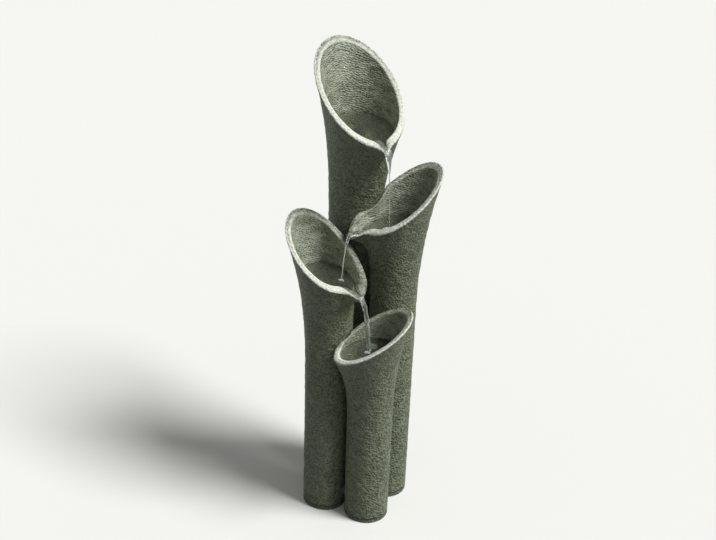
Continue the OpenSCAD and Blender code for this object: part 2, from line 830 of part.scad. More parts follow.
// Dial on the intake: its two holes pass or cover those of the cover as it turns
module flow_regulator() {
    color("#8a8f92") at_service() at_rotor() difference() {
        union() {
            bar(cover_front + 0.2, cover_front + 2.2, dial_radius);
            bar(cover_front - 2.8, cover_front + 1, 2.45, 24);
            translate([cover_front + 2, -1, -dial_radius + 1]) cube([2, 2, 2*dial_radius - 2]);
        }
        for (a = [45, 225]) rotate([a, 0, 0]) translate([0, 5, 0])
            bar(cover_front - 1, cover_front + 4, 1.8, 24);
    }
}

impeller_back = body_front - chamber_depth + 1;
impeller_front = body_front - 1;

// Open impeller: back disc, hub and straight blades
module impeller() {
    color("#d8d6cd") at_service() at_rotor() difference() {
        union() {
            bar(impeller_back, impeller_back + 1.2, impeller_radius);
            bar(impeller_back, impeller_front, 3);
            for (k = [0:impeller_blades - 1]) rotate([k*360/impeller_blades, 0, 0])
                translate([impeller_back + 1, 2, -0.6])
                    cube([impeller_front - impeller_back - 1.5, impeller_radius - 2.6, 1.2]);
        }
        bar(impeller_back - 1, impeller_front + 1, pin_radius + running_gap);
    }
}

// Ring magnet behind the impeller
module rotor_magnet() {
    color("#3a3a3c") at_service() at_rotor() difference() {
        bar(bore_back + 1, impeller_back, magnet_radius);
        bar(bore_back, impeller_back + 1, pin_radius + running_gap);
    }
}

module rotor_pin() {
    color("#e8e6e0") at_service() at_rotor() bar(bore_back - 2.8, body_front + volute_thick, pin_radius);
}

module pin_bushes() {
    color(RUBBER) at_service() at_rotor() {
        difference() {
            bar(bore_back - 2.9, bore_back + 0.5, pin_radius + 1.25);
            bar(bore_back - 4, bore_back + 2, pin_radius + 0.02);
        }
        difference() {
            bar(body_front - 0.5, body_front + volute_thick, pin_radius + 1.25);
            bar(body_front - 1, body_front + volute_thick + 1, pin_radius + 0.02);
        }
    }
}

module suction_cups() {
    color(RUBBER) at_service() for (x = [body_back + 7, 5], y = [-11, 11])
        translate([x, y, plate_thick]) {
            rotate_extrude($fn = 32) polygon([[0, 2], [4, 0], [5.5, 0], [3, cup_height], [0, cup_height]]);
            translate([0, 0, cup_height - 1]) cylinder(h = 3.5, r = 2.1, $fn = 24);
        }
}

// Hatch: a piece of the tube's own wall with a finger dish, held by its gasket
module access_hatch() {
    color(STONE) difference() {
        intersection() {
            hatch_block(0);
            shaft_core(TALL, 0);
        }
        shaft_core(TALL, -hatch_thick);
        at_service(hatch_base + hatch_height - 16)
            translate([shaft_radius(TALL, hatch_base + hatch_height) + 5, 0, 0]) sphere(r = 7.5);
    }
}

module hatch_gasket() {
    color(RUBBER) difference() {
        intersection() {
            hatch_block(0);
            shaft_core(TALL, -hatch_thick);
        }
        shaft_core(TALL, -hatch_thick - hatch_gasket_thick);
        hatch_block(-hatch_rebate);
    }
}

module drain_plug() {
    outside = shaft_radius(TALL, drain_height);
    color(RUBBER) at_service(drain_height) {
        bar(bore(TALL) - 2, outside + 1, drain_radius);
        bar(outside + 0.3, outside + 3, drain_radius + 4);
        translate([outside + 2, -1.5, -drain_radius]) cube([6, 3, 2*drain_radius]);
    }
}

// Grommet: a neck through the wall between two flanges, and a tapered sleeve behind it
module cable_grommet() {
    outside = shaft_radius(TALL, cable_height);
    flange = outside + 3;
    color(RUBBER) at_service(cable_height) difference() {
        union() {
            bar(bore(TALL) - 3, outside + 2, cable_radius + 2.5);
            bar(outside + 0.3, flange, cable_radius + 6);
            bar(bore(TALL) - 3.3, bore(TALL) - 1.3, cable_radius + 5);
            translate([flange - 0.1, 0, 0]) rotate([0, 90, 0])
                cylinder(h = cable_sleeve + 0.1, r1 = cable_radius + 4, r2 = cable_radius + 2, $fn = 48);
        }
        bar(bore(TALL) - 5, flange, cable_radius + cable_play);
        bar(flange - 1, flange + cable_sleeve + 1, cable_radius);
    }
}

overflow_top = water_level(FRONT) - 4;
overflow_nut_thick = 6;

// Overflow pipe: standing pipe in the front bowl with a flange, running down to the sump
module overflow_pipe() {
    color(PLASTIC) at_foot(FRONT) difference() {
        union() {
            translate([0, 0, overflow_outlet])
                cylinder(h = overflow_top - overflow_outlet, r = overflow_radius);
            translate([0, 0, floor_top(FRONT)]) cylinder(h = 3, r = overflow_radius + 5);
        }
        translate([0, 0, overflow_outlet - 1])
            cylinder(h = overflow_top - overflow_outlet + 2, r = overflow_radius - overflow_wall);
    }
}

module overflow_nut() {
    color(PLASTIC) at_foot(FRONT) ring(floor_base(FRONT) - overflow_nut_thick, floor_base(FRONT),
        overflow_radius + 6, overflow_radius + 0.05, 6);
}

// Strainer that lifts out of the overflow pipe: slotted cap, skirt and a small pull
module leaf_strainer() {
    fit = overflow_radius - overflow_wall - 0.3;
    skirt = 12;
    color("#8a8f92") at_foot(FRONT) translate([0, 0, overflow_top]) difference() {
        union() {
            translate([0, 0, 0.1]) cylinder(h = 2, r = overflow_radius);
            translate([0, 0, -skirt]) cylinder(h = skirt + 0.5, r = fit);
            translate([0, 0, 2]) cylinder(h = 3, r = 2.5, $fn = 24);
        }
        translate([0, 0, -skirt - 1]) cylinder(h = skirt + 1, r = fit - 1.2);
        for (a = [0:45:315]) rotate(a) translate([3.6, -0.8, -1]) cube([fit - 5, 1.6, 5]);
    }
}

tall_tube();
right_tube();
left_tube();
front_tube();
base_plate();
foot_gaskets();
link_sleeves();
link_nuts();
saddle_seals();
tie_bolts();
tie_washers();
tie_nuts();
tall_bowl();
right_bowl();
left_bowl();
front_bowl();
inlet_fitting();
inlet_seal();
inlet_nut();
supply_hose();
hose_clamps();
pump_body();
pump_volute_plate();
pump_cover();
flow_regulator();
impeller();
rotor_magnet();
rotor_pin();
pin_bushes();
suction_cups();
access_hatch();
hatch_gasket();
drain_plug();
cable_grommet();
overflow_pipe();
overflow_nut();
leaf_strainer();
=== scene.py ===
"""Looks of a garden fountain: four flared tubes of cast resin stone and their running water.

Lengths are millimetres until a mesh is made. +X is to the right of the front view, +Y to the
back and +Z up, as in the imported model. Directions in plan are degrees from +X.
"""

import json
import logging
import math
from collections.abc import Mapping, Sequence
from dataclasses import dataclass, field
from enum import Enum
from typing import Any

import bpy
import numpy as np
from mathutils import Matrix, Vector
from numpy.typing import NDArray

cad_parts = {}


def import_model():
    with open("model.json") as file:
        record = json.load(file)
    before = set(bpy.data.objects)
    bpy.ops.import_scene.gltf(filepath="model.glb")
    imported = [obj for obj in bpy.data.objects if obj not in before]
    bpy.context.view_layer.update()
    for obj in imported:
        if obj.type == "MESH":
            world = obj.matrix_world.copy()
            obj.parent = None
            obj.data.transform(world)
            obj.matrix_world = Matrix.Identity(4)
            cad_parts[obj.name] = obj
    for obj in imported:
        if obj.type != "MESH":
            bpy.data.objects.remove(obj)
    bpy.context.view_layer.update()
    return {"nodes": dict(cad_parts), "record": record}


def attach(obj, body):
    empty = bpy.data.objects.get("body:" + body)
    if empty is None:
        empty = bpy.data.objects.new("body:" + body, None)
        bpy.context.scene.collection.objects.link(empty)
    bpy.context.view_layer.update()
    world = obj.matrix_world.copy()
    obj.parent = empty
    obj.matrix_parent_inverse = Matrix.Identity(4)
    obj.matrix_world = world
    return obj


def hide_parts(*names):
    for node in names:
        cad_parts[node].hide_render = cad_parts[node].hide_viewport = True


Array = NDArray[np.float64]
Faces = NDArray[np.int64]

LOG = logging.getLogger("fountain")
METRES = 0.001
WATER_IOR = 1.333
# Where most of a noise's values lie
NOISE_SPREAD = (0.3, 0.7)
# Keeps a division away from 0
TINY = 1e-9


class Body(Enum):
    """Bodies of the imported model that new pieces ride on."""

    FOUNTAIN = "fountain"
    HATCH = "hatch"


class Slot(Enum):
    """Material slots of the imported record."""

    STONE = "stone"
    BLACK_PLASTIC = "black_plastic"
    GREY_PLASTIC = "grey_plastic"
    PALE_PLASTIC = "pale_plastic"
    RUBBER = "rubber"
    STEEL = "steel"
    FERRITE = "ferrite"
    CERAMIC = "ceramic"
    WATER = "water"
    FOAM = "foam"


class Mask(Enum):
    """Values that a stone skin carries at its points: shares, and millimetres round the tube."""

    RIM = "rim_paint"
    INSIDE = "inside"
    PEAK = "hammer_peak"
    WET = "wet"
    AROUND = "around"


class Draw(Enum):
    """What is added to a tube's seed for each of its noises."""

    LUMPS = 0
    SWELL = 40
    BRUSH = 60
    RIPPLE = 80
    PULSE = 90


# Sizes that the four tubes share, in millimetres and degrees. The taper has no unit
FOOT_RADIUS = 46.0
TALL_FOOT_RADIUS = 51.0
SHAFT_TAPER = 0.004
CLUSTER_SIDE = 97.0
CLUSTER_TURN = 22.0
TALL_BEARING = 146.0
NECK_GAP = 0.6
SHAFT_WALL = 8.5
RIM_WALL = 12.5
RIM_ROUND = 5.0
SCRIBED_WALL = 6.0
LIP_HALF_TURN = 9.0
CHANNEL_HALF_TURN = 5.0
INNER_SCOOP = 0.95
CHANNEL_DEPTH = 8.0
LIP_WALL = 4.0
LIP_BLEND = 24.0
TUBE_BASE = 10.0
BOWL_DEPTH = 55.0
WATER_FILM = 3.0
FRONT_FREEBOARD = 8.0
# Height where the right tube starts to flare, and so comes closest to the tall one
RIGHT_NECK = 470.0


def direction(degrees: float | Array) -> Array:
    """Unit vector in plan for each direction: its cosine beside its sine."""
    turn = np.radians(degrees)
    return np.stack([np.cos(turn), np.sin(turn)], axis=-1)


def unit_circle(steps: int) -> Array:
    """Evenly spaced points of a circle of radius 1, anticlockwise from +X."""
    return direction(np.arange(steps) * 360.0 / steps)


def smooth_step(x: Array, low: float, high: float) -> Array:
    """Rise from 0 at low to 1 at high: 3 s squared less 2 s cubed."""
    s = np.clip((x - low) / (high - low), 0.0, 1.0)
    return s * s * (3.0 - 2.0 * s)


@dataclass(frozen=True)
class LatticeNoise:
    """Smooth noise from 0 to 1: random values at the corners of cells, blended inside them."""

    cell: tuple[float, float, float]
    seed: int
    period: int = 61

    def at(self, points: Array) -> Array:
        """Value at each point: the eight corners of its cell, weighted by smoothed distances.

        Args:
            points: Places in millimetres, with x, y and z last.

        Returns:
            One value for each place.
        """
        table = np.random.default_rng(self.seed).random((self.period,) * 3)
        place = points / np.array(self.cell)
        low = np.floor(place).astype(int)
        s = smooth_step(place - low, 0.0, 1.0)
        total = np.zeros(points.shape[:-1])
        for corner in np.ndindex(2, 2, 2):
            index = (low + corner) % self.period
            weight = np.where(np.array(corner) == 1, s, 1.0 - s).prod(axis=-1)
            total += weight * table[index[..., 0], index[..., 1], index[..., 2]]
        return total


def ring_faces(rings: int, steps: int, closed: bool) -> Faces:
    """Quads between neighbouring rings of points, which face out of a surface built upwards.

    Args:
        rings: Number of rings.
        steps: Points in each ring, anticlockwise from above.
        closed: Whether the last ring joins the first.

    Returns:
        Four point numbers for each face.
    """
    rows = rings if closed else rings - 1
    j, i = np.meshgrid(np.arange(rows), np.arange(steps), indexing="ij")
    after, above = (i + 1) % steps, (j + 1) % rings
    quads = [j * steps + i, j * steps + after, above * steps + after, above * steps + i]
    return np.stack(quads, axis=-1).reshape(-1, 4)


def closed_surface(points: Array) -> tuple[Array, list[list[int]]]:
    """Closes a stack of rings with a fan of triangles at each end.

    Args:
        points: Rings by steps by x, y and z.

    Returns:
        The points with the two poles last, and the faces.
    """
    rings, steps = points.shape[:2]
    flat = points.reshape(-1, 3)
    poles = np.stack([points[0].mean(axis=0), points[-1].mean(axis=0)])
    i = np.arange(steps)
    after = (i + 1) % steps
    last = (rings - 1) * steps
    first_fan = np.stack([np.full(steps, len(flat)), after, i], axis=-1)
    last_fan = np.stack([np.full(steps, len(flat) + 1), last + i, last + after], axis=-1)
    faces = ring_faces(rings, steps, closed=False).tolist()
    return np.concatenate([flat, poles]), faces + first_fan.tolist() + last_fan.tolist()


def surface_normals(points: Array) -> Array:
    """Normals of a grid of rings: its step round the ring crossed with its step up the surface.

    Args:
        points: Rings by steps by x, y and z.

    Returns:
        A vector of length 1 for each point.
    """
    around = np.roll(points, -1, axis=1) - np.roll(points, 1, axis=1)
    along = np.gradient(points, axis=0)
    normal = np.cross(around, along)
    return normal / np.maximum(np.linalg.norm(normal, axis=-1, keepdims=True), TINY)


def raised(plan: Array, z: float | Array) -> Array:
    """Points in plan, each raised to its height."""
    return np.concatenate([plan, (z + np.zeros(plan.shape[:-1]))[..., None]], axis=-1)


def add_mesh(name: str, points: Array, faces: Sequence[Sequence[int]]) -> bpy.types.Object:
    """Makes a mesh object at the origin, unturned and unscaled.

    Args:
        name: Name of the object and its mesh.
        points: Its points in millimetres.
        faces: Point numbers of each face, anticlockwise from outside.

    Returns:
        The new object.
    """
    mesh = bpy.data.meshes.new(name)
    mesh.from_pydata((points * METRES).tolist(), [], list(faces))
    new = bpy.data.objects.new(name, mesh)
    bpy.context.scene.collection.objects.link(new)
    return new


def add_piece(
    name: str,
    points: Array,
    faces: Sequence[Sequence[int]],
    finish: "Finish",
    body: Body,
    masks: Mapping[Mask, Array] | None = None,
) -> bpy.types.Object:
    """Makes a smooth mesh object in the model's frame, dresses it and lets it ride.

    Args:
        name: Name of the piece.
        points: Its points in millimetres.
        faces: Point numbers of each face, anticlockwise from outside.
        finish: What it is made of.
        body: The body that carries it.
        masks: Values that it carries at its points.

    Returns:
        The new object.
    """
    piece = add_mesh(name, points, faces)
    mesh = piece.data
    mesh.polygons.foreach_set("use_smooth", np.ones(len(mesh.polygons), dtype=bool))
    for mask, values in (masks or {}).items():
        layer = mesh.attributes.new(mask.value, "FLOAT", "POINT")
        layer.data.foreach_set("value", values.ravel())
    mesh.materials.append(finish.material())
    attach(piece, body.value)
    LOG.info("%s: %d faces on body %s", name, len(mesh.polygons), body.value)
    return piece


def linear(code: str) -> tuple[float, float, float, float]:
    """Turns an sRGB colour linear: a short straight start, then a power of 2.4.

    Args:
        code: Hex code, with a # first.

    Returns:
        Red, green and blue from 0 to 1, and 1 for opaque.
    """
    parts = [int(code[k : k + 2], 16) / 255.0 for k in (1, 3, 5)]
    red, green, blue = (c / 12.92 if c <= 0.04045 else ((c + 0.055) / 1.055) ** 2.4 for c in parts)
    return red, green, blue, 1.0


def emptied(owner: bpy.types.Material | bpy.types.World) -> bpy.types.NodeTree:
    """Switches on the nodes of a material or a world and clears them.

    Args:
        owner: The material or the world.

    Returns:
        Its empty nodes.
    """
    owner.use_nodes = True
    owner.node_tree.nodes.clear()
    return owner.node_tree


def add_node(
    tree: bpy.types.NodeTree,
    kind: str,
    sockets: Mapping[str | int, object] | None = None,
    output: str | int = 0,
    **settings: object,
) -> bpy.types.NodeSocket | None:
    """Adds a shader node, sets it, and fills its sockets with values or links.

    Args:
        tree: The material's or the world's nodes.
        kind: Type of the node.
        sockets: Its inputs by name or number: an output socket is linked, anything else is set.
            Inputs that share a name go by number. A Mix has its share at 0, two values at 2 and
            3, and two colours at 6 and 7. A Map Range has its value at 0, the range that it
            comes from at 1 and 2, and the range that it is brought to at 3 and 4.
        output: Name or number of the output to give back. A Mix gives its colour at 2.
        settings: The node's properties.

    Returns:
        That output, or nothing for a node that has none.
    """
    node = tree.nodes.new(kind)
    for key, value in settings.items():
        setattr(node, key, value)
    for key, value in (sockets or {}).items():
        if isinstance(value, bpy.types.NodeSocket):
            tree.links.new(value, node.inputs[key])
        else:
            node.inputs[key].default_value = value
    return node.outputs[output] if node.outputs else None


@dataclass(frozen=True)
class Finish:
    """What a piece is made of. Each kind fills in its own nodes."""

    name: str
    slot: Slot

    def material(self) -> bpy.types.Material:
        """Makes the finish's material once.

        Returns:
            The material, new or known.
        """
        known = bpy.data.materials.get(self.name)
        if known:
            return known
        material = bpy.data.materials.new(self.name)
        tree = emptied(material)
        add_node(tree, "ShaderNodeOutputMaterial", {"Surface": self.shader(tree)})
        return material

    def shader(self, tree: bpy.types.NodeTree) -> bpy.types.NodeSocket:
        """Fills in the nodes of this kind of finish.

        Args:
            tree: The material's nodes, empty.

        Returns:
            The output that colours the surface.
        """
        raise NotImplementedError

    def object_noise(
        self, tree: bpy.types.NodeTree, size: float, detail: float = 2.0, stretch: float = 1.0
    ) -> bpy.types.NodeSocket:
        """Noise in the object's own place.

        Args:
            tree: The material's nodes.
            size: Width of its patches in millimetres.
            detail: Finer layers of it.
            stretch: Width of its patches as a share of their height.

        Returns:
            Its value from 0 to 1.
        """
        place = add_node(tree, "ShaderNodeTexCoord", output="Object")
        if stretch != 1.0:
            place = add_node(tree, "ShaderNodeMapping", {
                "Vector": place, "Scale": (1.0, 1.0, stretch)})
        values = {"Vector": place, "Scale": 1.0 / (size * METRES), "Detail": detail}
        return add_node(tree, "ShaderNodeTexNoise", values, "Fac")


@dataclass(frozen=True)
class CastStone(Finish):
    """Resin and stone powder, cast in a hammered mould, stained dark and dry-brushed pale.

    The eye sees a dark grey-green stone whose hammered peaks are a little lighter than its pits,
    fine wavy rows inside the mouths, rims rubbed with pale grey that breaks up at their edges,
    and a dark sheen where it is wet. Pattern sizes are millimetres. The real stone powder is
    finer than the render can show, so its grain is drawn as coarse as it needs to be.

    A range gives the values of a pattern where its effect starts and where it is whole. The share
    of rows is given outside and inside a mouth, and the gloss dry and wet. Soaked stone is mixed
    with its deep colour by the share in soak.
    """

    pit: str = "#3f442f"
    peak: str = "#838b74"
    # The inside colours are lighter than the outside ones: partly more dry-brushing, partly painted
    # light on the inner walls, which face up to the sky
    inside_pit: str = "#595f49"
    inside_peak: str = "#b9bfab"
    rim: str = "#edf0e1"
    rim_stain: str = "#8f9286"
    deep: str = "#000000"
    dimple: float = 4.6
    row: float = 4.2
    row_bend: float = 17.0
    ripple: float = 5.0
    grain: float = 2.2
    patch: float = 70.0
    drift: float = 22.0
    relief: float = 2.2
    dimple_range: tuple[float, float] = (0.1, 0.75)
    drift_bend: float = 9.0
    bend_depth: float = 1.9
    drift_depth: float = 12.0
    ripple_depth: float = 8.0
    rows_share: tuple[float, float] = (0.06, 0.5)
    grain_share: float = 0.2
    lump_share: float = 0.25
    stain_range: tuple[float, float] = (0.2, 0.75)
    patch_shade: tuple[float, float] = (0.88, 1.1)
    break_up: float = 0.5
    fleck_range: tuple[float, float] = (0.7, 1.3)
    paint_range: tuple[float, float] = (0.55, 0.85)
    soak: float = 0.4
    painted_bump: float = 0.45
    gloss: tuple[float, float] = (0.6, 0.22)
    specular: float = 0.4

    def dimples(self, tree: bpy.types.NodeTree) -> bpy.types.NodeSocket:
        """Hammered dimples: the distance to the nearest of many scattered points.

        Args:
            tree: The material's nodes.

        Returns:
            Height from 0 in a pit to 1 on a ridge.
        """
        low, high = self.dimple_range
        place = add_node(tree, "ShaderNodeTexCoord", output="Object")
        scale = {"Vector": place, "Scale": 1.0 / (self.dimple * METRES)}
        apart = add_node(tree, "ShaderNodeTexVoronoi", scale, "Distance")
        return add_node(tree, "ShaderNodeMapRange", {0: apart, 1: low, 2: high})

    def rows(self, tree: bpy.types.NodeTree, around: bpy.types.NodeSocket) -> bpy.types.NodeSocket:
        """Brushed rows: a sine of the height, which a second sine bends round the tube.

        A slow noise shifts both sines, and a fine one breaks the rows up.

        Args:
            tree: The material's nodes.
            around: Distance round the tube in millimetres.

        Returns:
            Height of the rows from 0 to 1.
        """
        turns = 2.0 * math.pi
        place = add_node(tree, "ShaderNodeTexCoord", output="Object")
        height = add_node(tree, "ShaderNodeSeparateXYZ", {0: place}, "Z")
        drift = self.object_noise(tree, self.drift, detail=1.0)
        broken = self.object_noise(tree, self.ripple, detail=1.0)
        bend = add_node(tree, "ShaderNodeMath", {0: around, 1: turns / self.row_bend},
                        operation="MULTIPLY")
        bend = add_node(tree, "ShaderNodeMath", {0: drift, 1: self.drift_bend, 2: bend},
                        operation="MULTIPLY_ADD")
        bend = add_node(tree, "ShaderNodeMath", {0: bend}, operation="SINE")
        phase = add_node(tree, "ShaderNodeMath", {0: height, 1: turns / (self.row * METRES)},
                         operation="MULTIPLY")
        shifts = ((bend, self.bend_depth), (drift, self.drift_depth), (broken, self.ripple_depth))
        for value, share in shifts:
            phase = add_node(tree, "ShaderNodeMath", {0: value, 1: share, 2: phase},
                             operation="MULTIPLY_ADD")
        wave = add_node(tree, "ShaderNodeMath", {0: phase}, operation="SINE")
        return add_node(tree, "ShaderNodeMapRange", {0: wave, 1: -1.0, 2: 1.0})

    def stained(
        self,
        tree: bpy.types.NodeTree,
        mask: Mapping[Mask, bpy.types.NodeSocket],
        height: bpy.types.NodeSocket,
    ) -> bpy.types.NodeSocket:
        """Stain that is darker in the pits than on the peaks, in broad light and dark patches.

        Args:
            tree: The material's nodes.
            mask: The masks' values.
            height: Height of the fine relief.

        Returns:
            The stain's colour.
        """
        low, high = self.stain_range
        lump = add_node(tree, "ShaderNodeMix", {0: self.lump_share, 2: height, 3: mask[Mask.PEAK]})
        lift = add_node(tree, "ShaderNodeMapRange", {0: lump, 1: low, 2: high})
        sides = [
            add_node(tree, "ShaderNodeMix", {0: lift, 6: linear(pit), 7: linear(peak)}, 2,
                     data_type="RGBA")
            for pit, peak in ((self.pit, self.peak), (self.inside_pit, self.inside_peak))]
        # The lighter inside colours are partly painted light on the inner walls, which face up to
        # the sky
        stain = add_node(tree, "ShaderNodeMix", {0: mask[Mask.INSIDE], 6: sides[0], 7: sides[1]}, 2,
                         data_type="RGBA")
        patch = self.object_noise(tree, self.patch, detail=4.0)
        shade = add_node(tree, "ShaderNodeMapRange", {
            0: patch, 1: NOISE_SPREAD[0], 2: NOISE_SPREAD[1],
            3: self.patch_shade[0], 4: self.patch_shade[1]})
        return add_node(tree, "ShaderNodeMix", {0: 1.0, 6: stain, 7: shade}, 2,
                        data_type="RGBA", blend_type="MULTIPLY")

    def shader(self, tree: bpy.types.NodeTree) -> bpy.types.NodeSocket:
        """Stain by hammered height, paint on the rim, and water.

        Args:
            tree: The material's nodes, empty.

        Returns:
            The output that colours the surface.
        """
        mask = {each: add_node(tree, "ShaderNodeAttribute", output="Fac", attribute_name=each.value)
                for each in Mask}
        share = add_node(tree, "ShaderNodeMapRange", {
            0: mask[Mask.INSIDE], 3: self.rows_share[0], 4: self.rows_share[1]})
        texture = add_node(tree, "ShaderNodeMix", {
            0: share, 2: self.dimples(tree), 3: self.rows(tree, mask[Mask.AROUND])})
        height = add_node(tree, "ShaderNodeMix", {
            0: self.grain_share, 2: texture, 3: self.object_noise(tree, self.grain)})
        stone = self.stained(tree, mask, height)
        edge = add_node(tree, "ShaderNodeMath", {0: height, 1: self.break_up, 2: mask[Mask.RIM]},
                        operation="MULTIPLY_ADD")
        flecks, painted = (
            add_node(tree, "ShaderNodeMapRange", {0: edge, 1: low, 2: high})
            for low, high in (self.fleck_range, self.paint_range))
        paint = add_node(tree, "ShaderNodeMix", {
            0: flecks, 6: linear(self.rim_stain), 7: linear(self.rim)}, 2, data_type="RGBA")
        stone = add_node(tree, "ShaderNodeMix", {0: painted, 6: stone, 7: paint}, 2,
                         data_type="RGBA")
        soak = add_node(tree, "ShaderNodeMath", {0: mask[Mask.WET], 1: self.soak},
                        operation="MULTIPLY")
        stone = add_node(tree, "ShaderNodeMix", {0: soak, 6: stone, 7: linear(self.deep)}, 2,
                         data_type="RGBA")
        depth = add_node(tree, "ShaderNodeMapRange", {0: painted, 3: 1.0, 4: self.painted_bump})
        bump = add_node(tree, "ShaderNodeBump", {
            "Strength": depth, "Distance": self.relief * METRES, "Height": height}, "Normal")
        gloss = add_node(tree, "ShaderNodeMapRange", {
            0: mask[Mask.WET], 3: self.gloss[0], 4: self.gloss[1]})
        return add_node(tree, "ShaderNodeBsdfPrincipled", {
            "Base Color": stone, "Roughness": gloss, "Specular IOR Level": self.specular,
            "Normal": bump}, "BSDF")


@dataclass(frozen=True)
class Moulded(Finish):
    """Injection-moulded plastic, pressed rubber or sintered ceramic: one colour, finely uneven.

    The eye sees an even colour with a soft gloss that a fine moulded texture breaks up. The real
    texture is a tenth of a millimetre, so it is drawn coarser here, in order to show.
    """

    colour: str = "#202223"
    shade: str = "#151617"
    roughness: float = 0.45
    ior: float = 1.5
    texture: float = 1.2
    relief: float = 0.05
    cloud: float = 25.0
    shade_range: tuple[float, float] = (0.35, 0.65)
    bump: float = 0.5
    gloss_change: tuple[float, float] = (-0.06, 0.08)

    def shader(self, tree: bpy.types.NodeTree) -> bpy.types.NodeSocket:
        """Two close shades, an uneven gloss and a fine relief.

        Args:
            tree: The material's nodes, empty.

        Returns:
            The output that colours the surface.
        """
        fine = self.object_noise(tree, self.texture)
        broad = self.object_noise(tree, self.cloud, detail=3.0)
        share = add_node(tree, "ShaderNodeMapRange", {
            0: broad, 1: self.shade_range[0], 2: self.shade_range[1]})
        colour = add_node(tree, "ShaderNodeMix", {
            0: share, 6: linear(self.colour), 7: linear(self.shade)}, 2, data_type="RGBA")
        bump = add_node(tree, "ShaderNodeBump", {
            "Strength": self.bump, "Distance": self.relief * METRES, "Height": fine}, "Normal")
        smooth, rough = (self.roughness + change for change in self.gloss_change)
        gloss = add_node(tree, "ShaderNodeMapRange", {
            0: broad, 1: NOISE_SPREAD[0], 2: NOISE_SPREAD[1], 3: smooth, 4: rough})
        return add_node(tree, "ShaderNodeBsdfPrincipled", {
            "Base Color": colour, "Roughness": gloss, "IOR": self.ior, "Normal": bump}, "BSDF")


@dataclass(frozen=True)
class TurnedSteel(Finish):
    """Stainless steel, turned or rolled: bright, with fine lines from the tool.

    The eye sees a pale metal with streaks of more and less gloss. A line is wider than the real
    one, which the render couldn't show, and its length is its width divided by its slimness.
    """

    colour: str = "#b9bcbe"
    line: float = 0.6
    slimness: float = 0.15
    gloss: tuple[float, float] = (0.24, 0.42)

    def shader(self, tree: bpy.types.NodeTree) -> bpy.types.NodeSocket:
        """Metal whose gloss changes from line to line.

        Args:
            tree: The material's nodes, empty.

        Returns:
            The output that colours the surface.
        """
        lines = self.object_noise(tree, self.line, stretch=self.slimness)
        gloss = add_node(tree, "ShaderNodeMapRange", {
            0: lines, 1: NOISE_SPREAD[0], 2: NOISE_SPREAD[1], 3: self.gloss[0], 4: self.gloss[1]})
        return add_node(tree, "ShaderNodeBsdfPrincipled", {
            "Base Color": linear(self.colour), "Metallic": 1.0, "Roughness": gloss}, "BSDF")


@dataclass(frozen=True)
class Water(Finish):
    """Running water: clear in a thin stream, cloudy with fine silt and air in a pool.

    The eye sees bright and dark lines along its small waves, and only shallow things through it.
    """

    tint: str = "#f2f7f4"
    cloudy: float = 0.0
    wave: float = 6.0
    wave_height: float = 0.5
    flatness: float = 1.0
    bump: float = 0.6
    roughness: float = 0.04

    def shader(self, tree: bpy.types.NodeTree) -> bpy.types.NodeSocket:
        """Glass of water's IOR with fine waves, which lets the lamp's light through.

        Args:
            tree: The material's nodes, empty.

        Returns:
            The output that colours the surface.
        """
        waves = self.object_noise(tree, self.wave, stretch=self.flatness)
        bump = add_node(tree, "ShaderNodeBump", {
            "Strength": self.bump, "Distance": self.wave_height * METRES,
            "Height": waves}, "Normal")
        body = add_node(tree, "ShaderNodeBsdfPrincipled", {
            "Base Color": linear(self.tint), "Roughness": self.roughness, "IOR": WATER_IOR,
            "Transmission Weight": 1.0 - self.cloudy, "Normal": bump}, "BSDF")
        clear = add_node(tree, "ShaderNodeBsdfTransparent", output="BSDF")
        lamp_ray = add_node(tree, "ShaderNodeLightPath", output="Is Shadow Ray")
        return add_node(tree, "ShaderNodeMixShader", {0: lamp_ray, 1: body, 2: clear})


@dataclass(frozen=True)
class Froth(Finish):
    """Air bubbles beaten into water where a stream lands: white, half clear, glossy."""

    colour: str = "#dfe4e1"
    roughness: float = 0.12
    clear: float = 0.6

    def shader(self, tree: bpy.types.NodeTree) -> bpy.types.NodeSocket:
        """Part diffuse white, part clear water."""
        return add_node(tree, "ShaderNodeBsdfPrincipled", {
            "Base Color": linear(self.colour), "Roughness": self.roughness, "IOR": WATER_IOR,
            "Transmission Weight": self.clear}, "BSDF")


# Dark grey-green casting of the tubes, their bowls, hatch and plate
STONE = CastStone("cast_resin_stone", Slot.STONE)
# Water of the pools and streams, and the bubbles where they land
POOL = Water("silty_pool_water", Slot.WATER, tint="#a6ab98", cloudy=0.1, wave=7.0, wave_height=1.0)
FALLING = Water("falling_water", Slot.WATER, cloudy=0.08, wave=4.0, flatness=0.4)
FROTH = Froth("beaten_water", Slot.FOAM)
# Works inside the tubes: polypropylene, nylon and acetal mouldings, pressed rubber, turned steel,
# the pump's ferrite magnet and its alumina pin
FINISHES = {finish.slot: finish for finish in (
    STONE,
    Moulded("moulded_black_polypropylene", Slot.BLACK_PLASTIC),
    Moulded("moulded_grey_nylon", Slot.GREY_PLASTIC, "#777b7d", "#6b6f71", roughness=0.5),
    Moulded("moulded_natural_acetal", Slot.PALE_PLASTIC, "#dcdad2", "#cfcdc4", roughness=0.38),
    Moulded("pressed_black_rubber", Slot.RUBBER, "#2a2c2d", "#222425",
            roughness=0.75, ior=1.52, texture=0.8, relief=0.08),
    TurnedSteel("turned_stainless_steel", Slot.STEEL),
    Moulded("sintered_ferrite", Slot.FERRITE, "#3a3a3c", "#303032",
            roughness=0.6, ior=2.2, texture=0.5, relief=0.03),
    Moulded("polished_alumina", Slot.CERAMIC, "#ece9e2", "#e2dfd7",
            roughness=0.15, ior=1.76, texture=0.5, relief=0.01))}


@dataclass(frozen=True)
class Lip:
    """A pouring lip: its direction, its reach beyond the rim and the drop of its tip.

    Scoop is the turn over which the mouth is drawn out with it on one side: anticlockwise where
    it is above 0, clockwise where it is below.
    """

    turn: float
    reach: float
    drop: float
    scoop: float = 0.0


